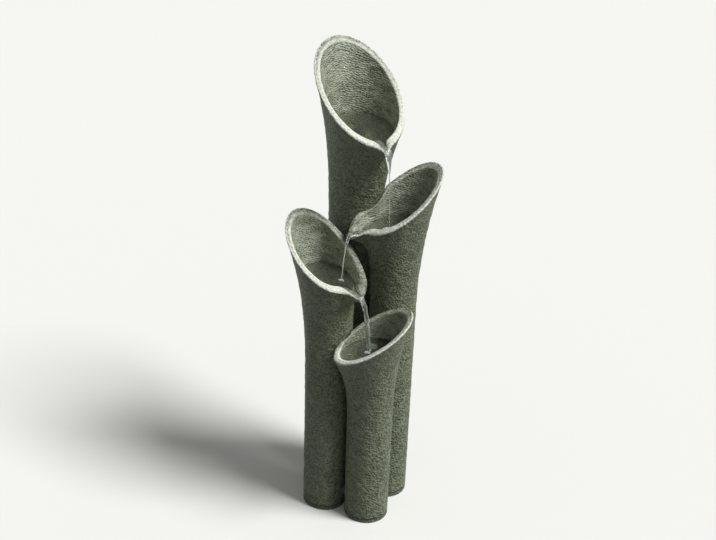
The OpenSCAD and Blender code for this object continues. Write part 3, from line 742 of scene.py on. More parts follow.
@dataclass(frozen=True)
class Tube:
    """One casting: a straight shaft that flares to a sloping oval mouth, maybe with a lip.

    Its surface is a function of a direction round its axis and a height. A section is a blend of
    the shaft's circle and the mouth's oval, whose share grows as a power of the height. Height is
    where the mouth's plane crosses the axis, slope is its tilt and fall the direction of its low
    side. Start is the height where the flare starts, with one power on its low side and another
    on its high side. The taller neighbours are those that it is scribed round.
    """

    name: str
    foot: tuple[float, float]
    foot_radius: float
    height: float
    slope: float
    fall: float
    half_axes: tuple[float, float]
    shift: tuple[float, float]
    start: float
    powers: tuple[float, float]
    lip: Lip | None
    taller: tuple["Tube", ...]
    seed: int

    def noise(self, draw: Draw, wide: float, high: float | None = None) -> LatticeNoise:
        """One of the tube's own noises, in cells of a width and a height."""
        return LatticeNoise((wide, wide, high or wide), self.seed + draw.value)

    def plan(self, turn: Array, inset: float | Array) -> Array:
        """Mouth in plan: an ellipse, shifted from the axis and turned to the low side.

        Args:
            turn: Directions.
            inset: How far it is drawn in.

        Returns:
            Points from the axis.
        """
        u = (self.half_axes[0] - inset) * np.cos(np.radians(turn - self.fall))
        v = (self.half_axes[1] - inset) * np.sin(np.radians(turn - self.fall))
        along, across = direction(self.fall), direction(self.fall + 90.0)
        return np.array(self.shift) + u[..., None] * along + v[..., None] * across

    def rim_height(self, plan: Array) -> Array:
        """Height of the mouth's sloping plane over points in plan."""
        return self.height - math.tan(math.radians(self.slope)) * (plan @ direction(self.fall))

    def flare(self, turn: Array, z: float | Array, top: Array) -> Array:
        """Share of the mouth in a section: the share of its height, raised to the side's power.

        Args:
            turn: Directions.
            z: Heights.
            top: Heights of the mouth.

        Returns:
            Shares from 0 at the start to 1 at the mouth.
        """
        low, high = self.powers
        power = (low + high) / 2.0 + (low - high) / 2.0 * np.cos(np.radians(turn - self.fall))
        return np.clip((z - self.start) / (top - self.start), 0.0, 1.0) ** power

    def shaft_radius(self, z: float | Array) -> float | Array:
        """Radius of the tapered shaft."""
        return self.foot_radius + SHAFT_TAPER * z

    def body_reach(self, turn: Array, z: Array) -> Array:
        """Reach of the outside from the axis, without the lip.

        Args:
            turn: Directions.
            z: Heights.

        Returns:
            The distances.
        """
        plan = self.plan(turn, 0.0 * turn)
        share = self.flare(turn, z, self.rim_height(plan))
        return (1.0 - share) * self.shaft_radius(z) + share * np.linalg.norm(plan, axis=-1)

    def clear_of_taller(self, place: Array, z: Array, spare: float | Array) -> Array:
        """Draws points back along their radius until they clear the taller neighbours.

        Args:
            place: Points in plan.
            z: Their heights.
            spare: Distance to keep.

        Returns:
            The points, drawn back to where their radius enters the neighbour's circle.
        """
        foot = np.array(self.foot)
        for other in self.taller:
            away = place - np.array(other.foot)
            reach = other.body_reach(np.degrees(np.arctan2(away[..., 1], away[..., 0])), z) + spare
            ray = place - foot
            apart = foot - np.array(other.foot)
            along, square = ray @ apart, (ray * ray).sum(axis=-1)
            root = np.maximum(along**2 - square * (apart @ apart - reach**2), 0.0)
            share = (-along - np.sqrt(root)) / np.maximum(square, TINY)
            inside = np.linalg.norm(away, axis=-1) < reach
            place = np.where(inside[..., None], foot + share[..., None] * ray, place)
        return place

    def from_lip(self, turn: Array) -> Array:
        """Turn from the lip, from -180 to 180."""
        return (turn - self.lip_turn + 540.0) % 360.0 - 180.0

    def bell(self, turn: Array, half_turn: float, scoop: float = 0.0) -> Array:
        """Bell curve round the lip: 1 at its middle, about a third at half_turn.

        Args:
            turn: Directions.
            half_turn: Its half width on a plain side: 1 over (1 + x squared) to the power 1.5.
            scoop: Its half width on a scooped side, where it is 1 over (1 + x to the fourth).

        Returns:
            The curve's value in each direction.
        """
        apart = self.from_lip(turn)
        plain = 1.0 / (1.0 + (apart / half_turn) ** 2) ** 1.5
        if not scoop:
            return plain
        return np.where(apart * scoop > 0.0, 1.0 / (1.0 + (apart / scoop) ** 4), plain)

    @property
    def lip_turn(self) -> float:
        """Direction of the lip, or of the low side where there is none."""
        return self.lip.turn if self.lip else self.fall

    def channel(self, turn: Array) -> Array:
        """Lowering of the rim by the pouring channel."""
        return CHANNEL_DEPTH * self.bell(turn, CHANNEL_HALF_TURN) if self.lip else 0.0 * turn

    def rim(self, turn: Array, inset: float | Array) -> Array:
        """Height of the rim before the lip draws it down."""
        return self.rim_height(self.plan(turn, inset)) - self.channel(turn)

    def section(self, turn: Array, z: Array, inset: Array) -> Array:
        """Wall in plan at a height: inset is 0 outside and RIM_WALL inside.

        Args:
            turn: Directions.
            z: Heights.
            inset: Depths into the wall.

        Returns:
            Points in plan.
        """
        depth = inset / RIM_WALL
        plan = self.plan(turn, inset)
        share = self.flare(turn, z, self.rim_height(plan))
        radius = (1.0 - depth) * self.shaft_radius(z) + depth * (self.foot_radius - SHAFT_WALL)
        ray = ((1.0 - share) * radius)[..., None] * direction(turn)
        place = np.array(self.foot) + ray + share[..., None] * plan
        return self.clear_of_taller(place, z, NECK_GAP + depth * SCRIBED_WALL)

    def pull(self, turn: Array, inset: Array, depth: Array) -> tuple[Array, Array]:
        """How far the lip draws the wall with it: less and less below the rim.

        Args:
            turn: Directions.
            inset: Depths into the wall.
            depth: Depths under the rim.

        Returns:
            The distances outwards and downwards.
        """
        if not self.lip:
            return 0.0 * depth, 0.0 * depth
        lip, inner = self.lip, inset / RIM_WALL
        outside = lip.reach * self.bell(turn, LIP_HALF_TURN, lip.scoop)
        inside = lip.reach * self.bell(turn, CHANNEL_HALF_TURN, INNER_SCOOP * lip.scoop)
        inside = inside + (RIM_WALL - LIP_WALL) * self.bell(turn, CHANNEL_HALF_TURN)
        fade = np.exp(-np.maximum(depth, 0.0) / LIP_BLEND)
        down = lip.drop * self.bell(turn, LIP_HALF_TURN, lip.scoop)
        return fade * ((1.0 - inner) * outside + inner * inside), fade * down

    def lipped(self, turn: Array, z: Array, inset: Array, depth: Array) -> Array:
        """Wall at heights that the lip then draws out and down, clear of the neighbours.

        Args:
            turn: Directions.
            z: Heights before the lip's pull.
            inset: Depths into the wall.
            depth: Depths under the rim.

        Returns:
            Points with x, y and z last.
        """
        out, down = self.pull(turn, inset, depth)
        place = self.section(turn, z, inset) + out[..., None] * direction(self.lip_turn)
        place = self.clear_of_taller(place, z - down, NECK_GAP + inset / RIM_WALL * SCRIBED_WALL)
        return raised(place, z - down)

    def wall(self, turn: Array, inset: Array, share: Array, drop: Array) -> tuple[Array, Array]:
        """Points of the flared wall, with the lip's pull.

        Args:
            turn: Directions.
            inset: Depths into the wall.
            share: Share of the way up from the start of the flare to the rim.
            drop: Distance that the top stays below the rim.

        Returns:
            The points, and their depths under the rim.
        """
        rim = self.rim(turn, inset)
        z = self.start + share * (rim - drop - self.start)
        return self.lipped(turn, z, inset, rim - z), rim - z

    def rim_at(self, inset: float) -> float:
        """Height of the rim's plane at the lip, or at the low side."""
        turn = np.array([self.lip_turn])
        return float(self.rim_height(self.plan(turn, inset))[0])

    @property
    def water_level(self) -> float:
        """Height of the water: just over the lip's sill, or below the front rim."""
        if self.lip:
            return self.rim_at(RIM_WALL) - CHANNEL_DEPTH - self.lip.drop + WATER_FILM
        return self.rim_at(RIM_WALL) - FRONT_FREEBOARD

    @property
    def floor_top(self) -> float:
        """Height of the dish in the floor of its bowl."""
        return self.water_level - BOWL_DEPTH

    def ring_turns(self, steps: int, crowding: float) -> Array:
        """Directions of a ring's points, evenly spaced less a sine, so closer round the lip.

        Args:
            steps: Number of points.
            crowding: The sine's height in degrees.

        Returns:
            The directions, the lip's own first.
        """
        u = np.arange(steps) * 360.0 / steps
        crowd = crowding * np.sin(np.radians(u)) if self.lip else 0.0
        return self.lip_turn + u - crowd


def corner(number: int) -> tuple[float, float]:
    """Foot of the tube on one corner of the square."""
    x, y = CLUSTER_SIDE / math.sqrt(2.0) * direction(CLUSTER_TURN + 90.0 * number)
    return float(x), float(y)


def tall_foot() -> tuple[float, float]:
    """Foot of the tall tube: beside the right one, so that they nearly touch at its neck."""
    apart = TALL_FOOT_RADIUS + FOOT_RADIUS + 2.0 * SHAFT_TAPER * RIGHT_NECK + NECK_GAP
    x, y = np.array(corner(0)) + apart * direction(TALL_BEARING)
    return float(x), float(y)


TALL = Tube(
    "tall_tube", tall_foot(), TALL_FOOT_RADIUS, height=926.0, slope=36.0, fall=-58.0,
    half_axes=(103.0, 85.0), shift=(1.0, -10.6), start=600.0, powers=(2.0, 3.3),
    lip=Lip(turn=-61.0, reach=22.0, drop=7.0), taller=(), seed=11)
RIGHT = Tube(
    "right_tube", corner(0), FOOT_RADIUS, height=718.0, slope=37.0, fall=209.0,
    half_axes=(78.0, 62.0), shift=(13.0, -15.0), start=RIGHT_NECK, powers=(2.1, 2.0),
    lip=Lip(turn=198.0, reach=38.0, drop=14.0, scoop=-65.0), taller=(TALL,), seed=12)
LEFT = Tube(
    "left_tube", corner(2), FOOT_RADIUS, height=622.0, slope=36.0, fall=-49.0,
    half_axes=(79.0, 63.0), shift=(-22.0, -12.0), start=320.0, powers=(2.3, 2.6),
    lip=Lip(turn=-40.0, reach=38.0, drop=10.0, scoop=70.0), taller=(TALL, RIGHT), seed=13)
FRONT = Tube(
    "front_tube", corner(3), FOOT_RADIUS, height=473.0, slope=31.0, fall=193.0,
    half_axes=(79.0, 61.0), shift=(0.0, -36.0), start=245.0, powers=(2.2, 2.3),
    lip=None, taller=(RIGHT, LEFT), seed=14)


@dataclass
class Casting:
    """The stone skin of a tube: up its outside, over its rim and down its inside to the foot.

    The rings of points are closest together on the flared head, and few where other pieces hide
    the skin. Relief is the height of the hammered lumps from pit to peak, and a point of middle
    height stays where it is. Lumps are round outside and long brush strokes inside.

    The rim's paint is given as its share at half height and what the low side has more of it, on
    the flat middle of the rim and on its two arrises. Back paint is the share of it that the
    back has, away from the front view. Heights of the wet channel are from the water's level.
    """

    tube: Tube
    back_paint: float = 0.9
    steps: int = 200
    shaft_spacing: float = 3.2
    head_spacing: float = 2.5
    inner_spacing: float = 3.0
    crowding: float = 18.0
    arc_steps: int = 6
    few_steps: int = 5
    under_floor: float = 12.0
    plain_under_floor: float = 10.0
    plain_foot: float = 1.0
    relief: float = 0.9
    middle: float = 0.6
    lump: float = 9.0
    brush_stroke: tuple[float, float] = (16.0, 7.0)
    contrast: float = 1.6
    swell: float = 0.5
    swell_width: float = 46.0
    rim_quiet: float = 0.55
    paint_fall: float = 50.0
    flat_paint: tuple[float, float] = (0.68, 0.16)
    arris_paint: tuple[float, float] = (0.92, 0.08)
    arris_range: tuple[float, float] = (0.2, 0.6)
    paint_edge: tuple[float, float] = (3.0, 5.5)
    back_range: tuple[float, float] = (-0.3, 0.6)
    # Paint taken off round the lip: partly wear, partly painted shade where the neighbouring tubes
    # shade the rim
    lip_wear_and_shade: float = 0.55
    wet_edge: float = 7.0
    wet_half_turn: float = 4.0
    wet_channel: tuple[float, float] = (-40.0, -10.0)
    finish: Finish = STONE

    def head_rows(self) -> tuple[Array, Array, Array]:
        """Rings of the flared head, from its neck over the rim and down to the neck again.

        The rim is a quarter circle, a flat and another quarter circle. Below the bowl's floor the
        inside needs few rings.

        Returns:
            For each ring its inset, its share of the way up and its drop below the rim.
        """
        tube = self.tube
        highest = tube.height + math.tan(math.radians(tube.slope)) * tube.half_axes[0]
        outer = np.linspace(0.0, 1.0, int((highest - tube.start) / self.head_spacing))
        arc = np.radians(np.linspace(0.0, 90.0, self.arc_steps + 1))[1:]
        back = arc[::-1][1:]
        flat = np.linspace(RIM_ROUND, RIM_WALL - RIM_ROUND, self.few_steps + 1)[1:]
        floor_share = (tube.floor_top - self.under_floor - tube.start) / (highest - tube.start)
        inner = np.concatenate([
            np.linspace(1.0, floor_share, int((highest - tube.floor_top) / self.inner_spacing)),
            np.linspace(floor_share, 0.0, self.few_steps + 1)[1:]])
        inset = np.concatenate([
            0.0 * outer, RIM_ROUND * (1.0 - np.cos(arc)), flat,
            RIM_WALL - RIM_ROUND * (1.0 - np.cos(back)), np.full(len(inner), RIM_WALL)])
        share = np.concatenate([outer, np.ones(len(arc) + len(flat) + len(back)), inner])
        drop = np.concatenate([
            np.full(len(outer), RIM_ROUND), RIM_ROUND * (1.0 - np.sin(arc)), 0.0 * flat,
            RIM_ROUND * (1.0 - np.sin(back)), np.full(len(inner), RIM_ROUND)])
        return inset, share, drop

    def rim_paint(self, turns: Array, inset: Array, z: Array, depth: Array) -> Array:
        """Share of paint that dry-brushing leaves: most on the arrises and on the low side.

        It rises from the flat to each arris, ends a little below the rim, and is thinner at the
        back. Round the lip, where it is drawn out, it is thinner too: partly wear, partly painted
        shade where the neighbouring tubes shade the rim.

        Args:
            turns: Directions.
            inset: Depths into the wall.
            z: Heights.
            depth: Depths under the rim.

        Returns:
            Paint at each point of the head, from 0 to 1.
        """
        to_arris = np.abs(inset / RIM_WALL - 0.5) * 2.0
        low_side = np.clip((self.tube.height - z) / self.paint_fall, -1.0, 1.0)
        flat, arris = (at + more * low_side for at, more in (self.flat_paint, self.arris_paint))
        paint = flat + (arris - flat) * smooth_step(to_arris, *self.arris_range)
        paint = paint * (1.0 - smooth_step(depth, *self.paint_edge))
        back = smooth_step(direction(turns)[:, 1], *self.back_range)
        paint = paint * (1.0 - (1.0 - self.back_paint) * back)
        if not self.tube.lip:
            return paint
        # Less paint round the lip: partly wear, partly painted shade where the neighbouring tubes
        # shade the rim
        worn_and_shaded = self.lip_wear_and_shade * self.tube.bell(turns, LIP_HALF_TURN, self.tube.lip.scoop)
        return paint * (1.0 - worn_and_shaded)

    def skin(self) -> tuple[Array, dict[Mask, Array]]:
        """Rings of points with their masks, closed from the last ring to the first.

        The skin is pushed in and out by hammered lumps and by a broad, slight swell, but not at
        its foot or below the bowl's floor, where other pieces meet it.

        Returns:
            Points by ring and step, and the masks.
        """
        tube = self.tube
        turns = tube.ring_turns(self.steps, self.crowding)
        circle = direction(turns)
        foot = np.array(tube.foot)
        rows = int((tube.start - TUBE_BASE) / self.shaft_spacing)
        low = np.linspace(TUBE_BASE, tube.start, rows)[:-1, None]
        down = np.linspace(tube.start, TUBE_BASE, self.few_steps)[1:, None]
        shaft = foot + tube.shaft_radius(low)[..., None] * circle
        bore = foot + (tube.foot_radius - SHAFT_WALL + 0.0 * down)[..., None] * circle
        inset, share, drop = (row[:, None] + 0.0 * turns for row in self.head_rows())
        head, depth = tube.wall(turns + 0.0 * inset, inset, share, drop)
        points = np.concatenate([raised(shaft, low), head, raised(bore, down)])
        around_shaft, around_bore = 0.0 * (low + turns), 0.0 * (down + turns)
        inside = np.concatenate([
            around_shaft, smooth_step(inset, RIM_ROUND, RIM_WALL - RIM_ROUND), around_bore + 1.0])
        rim = np.concatenate([
            around_shaft, self.rim_paint(turns, inset, head[..., 2], depth), around_bore])
        peak = self.hammer(points, inside)
        swell = tube.noise(Draw.SWELL, self.swell_width).at(points) - 0.5
        lumps = self.relief * (peak - self.middle) * (1.0 - self.rim_quiet * rim)
        push = lumps + self.swell * swell
        z = points[..., 2]
        hidden = (inside >= 1.0) & (z < tube.floor_top - self.plain_under_floor)
        push = np.where(hidden | (z <= TUBE_BASE + self.plain_foot), 0.0, push)
        reach = np.linalg.norm(points[..., :2] - foot, axis=-1)
        masks = {Mask.RIM: rim, Mask.INSIDE: inside, Mask.PEAK: peak,
                 Mask.WET: self.wetness(points, inside),
                 Mask.AROUND: np.radians(np.abs(tube.from_lip(turns))) * reach}
        return points + push[..., None] * surface_normals(points), masks

    def hammer(self, points: Array, inside: Array) -> Array:
        """Hammered height from 0 in a pit to 1 on a peak.

        Args:
            points: The skin's points.
            inside: Share of the inside's finish at each.

        Returns:
            The height at each point.
        """
        broad = self.tube.noise(Draw.LUMPS, self.lump).at(points)
        brushed = self.tube.noise(Draw.BRUSH, *self.brush_stroke).at(points)
        lumps = (1.0 - inside) * broad + inside * brushed
        return np.clip(0.5 + self.contrast * (lumps - 0.5), 0.0, 1.0)

    def wetness(self, points: Array, inside: Array) -> Array:
        """How wet the skin is: under the water line and in the pouring channel.

        Args:
            points: The skin's points.
            inside: Share of the inside's finish at each.

        Returns:
            1 where it is soaked and 0 where it is dry.
        """
        tube = self.tube
        over_water = points[..., 2] - tube.water_level
        below = inside * (1.0 - smooth_step(over_water, 0.0, self.wet_edge))
        if not tube.lip:
            return below
        away = points[..., :2] - np.array(tube.foot)
        turn = np.degrees(np.arctan2(away[..., 1], away[..., 0]))
        near = tube.bell(turn, self.wet_half_turn) * smooth_step(over_water, *self.wet_channel)
        return np.maximum(below, near)

    def build(self) -> bpy.types.Object:
        """Makes the skin's piece.

        Returns:
            The piece that stands for the tube's node.
        """
        points, masks = self.skin()
        rings = points.shape[0]
        faces = ring_faces(rings, self.steps, closed=True).tolist()
        name = self.tube.name.replace("_tube", "_casting")
        piece = add_piece(name, points.reshape(-1, 3), faces, self.finish, Body.FOUNTAIN, masks)
        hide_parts(self.tube.name)
        return piece


@dataclass
class Hatch:
    """Service openings in the back of the tall tube, and the hatch that closes the largest.

    The hatch is a piece of the tube's own wall in a rebate. Its local X points out of the tube's
    back, which is +Y in the model, its Y across and its Z up. Base is the height of its lower
    edge. The rebate's ledge lies seat below the wall's outside. Drain and cable hole are given by
    their height and their radius.
    """

    skin: Casting
    width: float = 60.0
    height: float = 86.0
    base: float = 108.0
    rebate: float = 5.0
    corner: float = 6.0
    thick: float = 4.0
    seat: float = 5.6
    gap: float = 0.4
    dish_radius: float = 7.5
    dish_below_top: float = 16.0
    dish_out: float = 5.0
    edge: float = 0.8
    drain: tuple[float, float] = (36.0, 7.3)
    cable: tuple[float, float] = (228.0, 6.3)
    inner_reach: float = 25.0
    outer_reach: float = 70.0
    steps: int = 150
    rings: int = 20
    corner_steps: int = 9
    pin_steps: int = 48

    def outline(self, extra: float) -> Array:
        """Rounded rectangle: four quarter circles joined, then evenly spaced.

        Args:
            extra: How much larger it is than the hatch, all round.

        Returns:
            Points across and up from the hatch's middle.
        """
        half = np.array([self.width, self.height]) / 2.0 + extra - self.corner
        side = np.array([[1.0, 1.0], [-1.0, 1.0], [-1.0, -1.0], [1.0, -1.0]])
        turns = np.arange(4)[:, None] * 90.0 + np.linspace(0.0, 90.0, self.corner_steps)
        loop = ((side * half)[:, None] + self.corner * direction(turns)).reshape(-1, 2)
        loop = np.concatenate([loop, loop[:1]])
        run = np.concatenate([[0.0], np.cumsum(np.linalg.norm(np.diff(loop, axis=0), axis=1))])
        at = np.arange(self.steps) * run[-1] / self.steps
        return np.stack([np.interp(at, run, loop[:, k]) for k in (0, 1)], axis=-1)

    def wall_reach(self, across: Array, z: Array, offset: float) -> Array:
        """Local X of the tube's round outside, moved in or out by offset."""
        radius = self.skin.tube.shaft_radius(z) + offset
        return np.sqrt(radius**2 - across**2)

    def place(self, local: Array) -> Array:
        """Local points in the model's frame: a quarter turn about the tube's axis."""
        foot = self.skin.tube.foot
        return np.stack([foot[0] - local[..., 1], foot[1] + local[..., 0], local[..., 2]], axis=-1)

    def slab(self, outline: Array, inner: float | None, outer: float | None) -> Array:
        """Rings of a plug through the wall: out over its inner face, then in over its outer one.

        Args:
            outline: Its edge, across and up from the hatch's middle.
            inner: Offset of its inner face from the wall's outside, or none for a flat deep face.
            outer: Offset of its outer face, or none for a flat face far out.

        Returns:
            Rings by steps by x, y and z, in the local frame.
        """
        share = np.linspace(0.0, 1.0, self.rings + 1)[1:, None, None]
        flat = np.concatenate([share * outline, (share * outline)[::-1]])
        z = flat[..., 1] + self.base + self.height / 2.0
        x = np.full_like(z, self.inner_reach)
        x[self.rings:] = self.outer_reach
        if inner is not None:
            x[:self.rings] = self.wall_reach(flat[..., 0], z, inner)[:self.rings]
        if outer is not None:
            x[self.rings:] = self.wall_reach(flat[..., 0], z, outer)[self.rings:]
        return np.stack([x, flat[..., 0], z], axis=-1)

    def pin(self, z: float, radius: float) -> Array:
        """Two rings of a round cutter through the wall.

        Args:
            z: Height of its middle.
            radius: Its radius.

        Returns:
            Rings by steps by x, y and z, in the local frame.
        """
        circle = radius * unit_circle(self.pin_steps)
        x = np.array([self.inner_reach, self.outer_reach])[:, None] + 0.0 * circle[:, 0]
        return np.stack([x, circle[:, 0] + 0.0 * x, circle[:, 1] + z + 0.0 * x], axis=-1)

    def cut(self, casting: bpy.types.Object) -> None:
        """Takes the rebate, the hatch's opening, the drain and the cable hole out of the casting.

        Args:
            casting: The tall tube's piece.
        """
        cutters = [self.slab(self.outline(self.gap), -self.seat, None),
                   self.slab(self.outline(-self.rebate), None, None),
                   self.pin(*self.drain), self.pin(*self.cable)]
        tools = []
        for rings in cutters:
            tool = add_mesh("cutter", *closed_surface(self.place(rings)))
            opening = casting.modifiers.new("opening", "BOOLEAN")
            opening.operation = "DIFFERENCE"
            opening.solver = "EXACT"
            opening.object = tool
            tools.append(tool)
        graph = bpy.context.evaluated_depsgraph_get()
        whole = casting.data
        casting.data = bpy.data.meshes.new_from_object(
            casting.evaluated_get(graph), preserve_all_data_layers=True, depsgraph=graph)
        casting.data.name = whole.name
        casting.modifiers.clear()
        for tool in tools:
            bpy.data.meshes.remove(tool.data)
        bpy.data.meshes.remove(whole)
        LOG.info("%s: cut to %d faces", casting.name, len(casting.data.polygons))

    def build(self) -> bpy.types.Object:
        """Makes the panel: the wall's hammered skin with a finger dish, over its flat-cut edge.

        Returns:
            The piece that stands for the hatch's node.
        """
        local = self.slab(self.outline(0.0), -self.thick, 0.0)
        world = self.place(local)
        inside = np.zeros(world.shape[:2])
        peak = self.skin.hammer(world, inside)
        front = np.zeros(world.shape[:2])
        front[self.rings + 1:] = 1.0
        local[self.rings, :, 0] -= self.edge
        local[..., 0] += front * self.skin.relief * (peak - self.skin.middle)
        dish_z = self.base + self.height - self.dish_below_top
        apart = local[..., 1] ** 2 + (local[..., 2] - dish_z) ** 2
        centre = self.skin.tube.shaft_radius(self.base + self.height) + self.dish_out
        dish = centre - np.sqrt(np.maximum(self.dish_radius**2 - apart, 0.0))
        dished = (front > 0.0) & (apart < self.dish_radius**2)
        local[..., 0] = np.where(dished, np.minimum(local[..., 0], dish), local[..., 0])
        points, faces = closed_surface(self.place(local))
        # The masks' values at the two poles, which come last
        poles = np.zeros(2)
        masks = {mask: np.concatenate([values.ravel(), poles]) for mask, values in {
            Mask.RIM: inside, Mask.INSIDE: inside, Mask.PEAK: peak, Mask.WET: inside,
            Mask.AROUND: np.abs(local[..., 1])}.items()}
        piece = add_piece("hatch_panel", points, faces, self.skin.finish, Body.HATCH, masks)
        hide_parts("access_hatch")
        return piece


@dataclass
class Pool:
    """Standing water of one mouth: a closed body from its rippled top down to the bowl's floor.

    Source is where a stream or the inlet stirs it, and reach how far its ring waves carry.
    """

    tube: Tube
    source: tuple[float, float]
    wave_height: float = 0.9
    wave_length: float = 10.0
    reach: float = 45.0
    crowding: float = 18.0
    ripple: float = 8.0
    ripple_share: float = 0.5
    steps: int = 144
    rings: int = 48
    side_rings: int = 9
    overlap: float = 0.5
    finish: Finish = POOL

    def build(self) -> bpy.types.Object:
        """Makes the pool: rings up the wall, then in to the middle of the surface.

        The surface is ring waves round the source, a cosine of the distance that dies away, and
        a little lattice noise. The side lies a little inside the stone, so that no gap shows.

        Returns:
            The new piece.
        """
        tube = self.tube
        turns = tube.ring_turns(self.steps, self.crowding)
        heights = np.linspace(tube.floor_top - self.overlap, tube.water_level, self.side_rings)
        z = heights[:, None] + 0.0 * turns
        inset = np.full_like(z, RIM_WALL)
        rim = tube.rim(turns, RIM_WALL)
        before = z + tube.pull(turns, inset, rim - z)[1]
        side = tube.lipped(turns + 0.0 * z, before, inset, rim - before)[..., :2]
        side = raised(side + self.overlap * direction(turns), z)
        middle = side[-1].mean(axis=0)
        shrink = 1.0 - np.linspace(0.0, 1.0, self.rings + 1)[1:-1]
        top = middle + shrink[:, None, None] * (side[-1] - middle)
        apart = np.linalg.norm(top[..., :2] - np.array(self.source), axis=-1)
        waves = np.cos(2.0 * math.pi * apart / self.wave_length) * np.exp(-apart / self.reach)
        small = tube.noise(Draw.RIPPLE, self.ripple).at(top) - 0.5
        top[..., 2] += self.wave_height * (waves + self.ripple_share * small)
        points, faces = closed_surface(np.concatenate([side, top]))
        name = tube.name.replace("_tube", "_pool")
        return add_piece(name, points, faces, self.finish, Body.FOUNTAIN)


@dataclass
class Stream:
    """Water that leaves a pool over a lip and falls: a profile carried along its path.

    The path runs level through the channel and over the lip's tip, then falls: its distance in
    plan grows with time and its drop with time and time squared. The profile is a flattened
    ellipse that narrows as the water speeds up, and turns and pulses a little on the way. Width
    and thickness are half axes. Side is how far beside the lip's middle it starts.

    Over tip is the share of the way that lies over the tip. The water keeps its width over the
    share in whole, and narrows over the share in sheet. Push is the part of its drop that grows
    evenly with time. It dips as it nears the sill, and it clears the tip by a gap and a drop.
    """

    name: str
    tube: Tube
    landing: tuple[float, float, float]
    width: float
    thickness: float
    end_width: float
    end_thickness: float
    twist: float = 90.0
    pulse: float = 0.18
    pulse_length: float = 9.0
    side: float = 0.0
    sheet: float = 0.4
    whole: float = 0.1
    run_in: float = 46.0
    dip: float = 0.6
    dip_reach: float = 8.0
    tip_gap: float = 1.0
    tip_drop: float = 1.5
    over_tip: float = 0.15
    push: float = 0.3
    channel_rings: int = 18
    tip_rings: int = 7
    fall_rings: int = 59
    steps: int = 20
    finish: Finish = FALLING

    @property
    def across(self) -> Array:
        """Level direction across the lip."""
        return np.append(direction(self.tube.lip_turn + 90.0), 0.0)

    def path(self) -> tuple[Array, Array]:
        """Points along the middle of the water.

        Returns:
            The points, and for each the share of the way that lies behind it.
        """
        tube = self.tube
        outward = np.append(direction(tube.lip_turn), 0.0)
        turn = np.array([tube.lip_turn])
        tip, edge = (
            tube.wall(turn, inset + 0.0 * turn, 1.0 + 0.0 * turn, 0.0 * turn)[0][0]
            for inset in (0.0, RIM_WALL))
        reach = np.linspace(-self.run_in, 0.0, self.channel_rings)
        channel = edge + reach[:, None] * outward
        dip = self.dip * np.exp(reach / self.dip_reach)
        channel[:, 2] = tube.water_level - self.thickness - dip
        over = np.linspace(0.0, 1.0, self.tip_rings + 1)[1:]
        crest = tip + (self.tip_gap + 0.5 * self.thickness) * outward
        crest[2] = tip[2] - self.tip_drop
        bend = channel[-1] + over[:, None] * (crest - channel[-1])
        bend[:, 2] = channel[-1, 2] + (crest[2] - channel[-1, 2]) * over**2
        time = np.linspace(0.0, 1.0, self.fall_rings + 1)[1:]
        end = np.array(self.landing)
        fall = crest + time[:, None] * (end - crest)
        fallen = self.push * time + (1.0 - self.push) * time**2
        fall[:, 2] = crest[2] + (end[2] - crest[2]) * fallen
        done = np.concatenate([
            0.0 * reach, self.over_tip * over, self.over_tip + (1.0 - self.over_tip) * time])
        points = np.concatenate([channel, bend, fall])
        return points + (1.0 - done)[:, None] * self.side * self.across, done

    def build(self) -> bpy.types.Object:
        """Carries the profile along the path and closes its ends.

        Returns:
            The new piece.
        """
        points, done = self.path()
        ahead = np.gradient(points, axis=0)
        ahead /= np.linalg.norm(ahead, axis=-1, keepdims=True)
        first = self.across - (ahead @ self.across)[:, None] * ahead
        first /= np.linalg.norm(first, axis=-1, keepdims=True)
        second = np.cross(ahead, first)
        narrow = np.clip((done - self.whole) / self.sheet, 0.0, 1.0)
        wobble = self.tube.noise(Draw.PULSE, self.pulse_length).at(points) - 0.5
        pulse = 2.0 * self.pulse * wobble * narrow
        half_width = self.width + (self.end_width - self.width) * narrow
        half_thick = self.thickness + (self.end_thickness - self.thickness) * narrow
        spin = np.radians(self.twist) * np.maximum(done - self.over_tip, 0.0)
        circle = unit_circle(self.steps)
        u = (half_width * (1.0 + pulse))[:, None] * circle[:, 0]
        v = (half_thick * (1.0 - pulse))[:, None] * circle[:, 1]
        a = u * np.cos(spin)[:, None] - v * np.sin(spin)[:, None]
        b = u * np.sin(spin)[:, None] + v * np.cos(spin)[:, None]
        skin = points[:, None] + a[..., None] * first[:, None] + b[..., None] * second[:, None]
        return add_piece(self.name, *closed_surface(skin), self.finish, Body.FOUNTAIN)


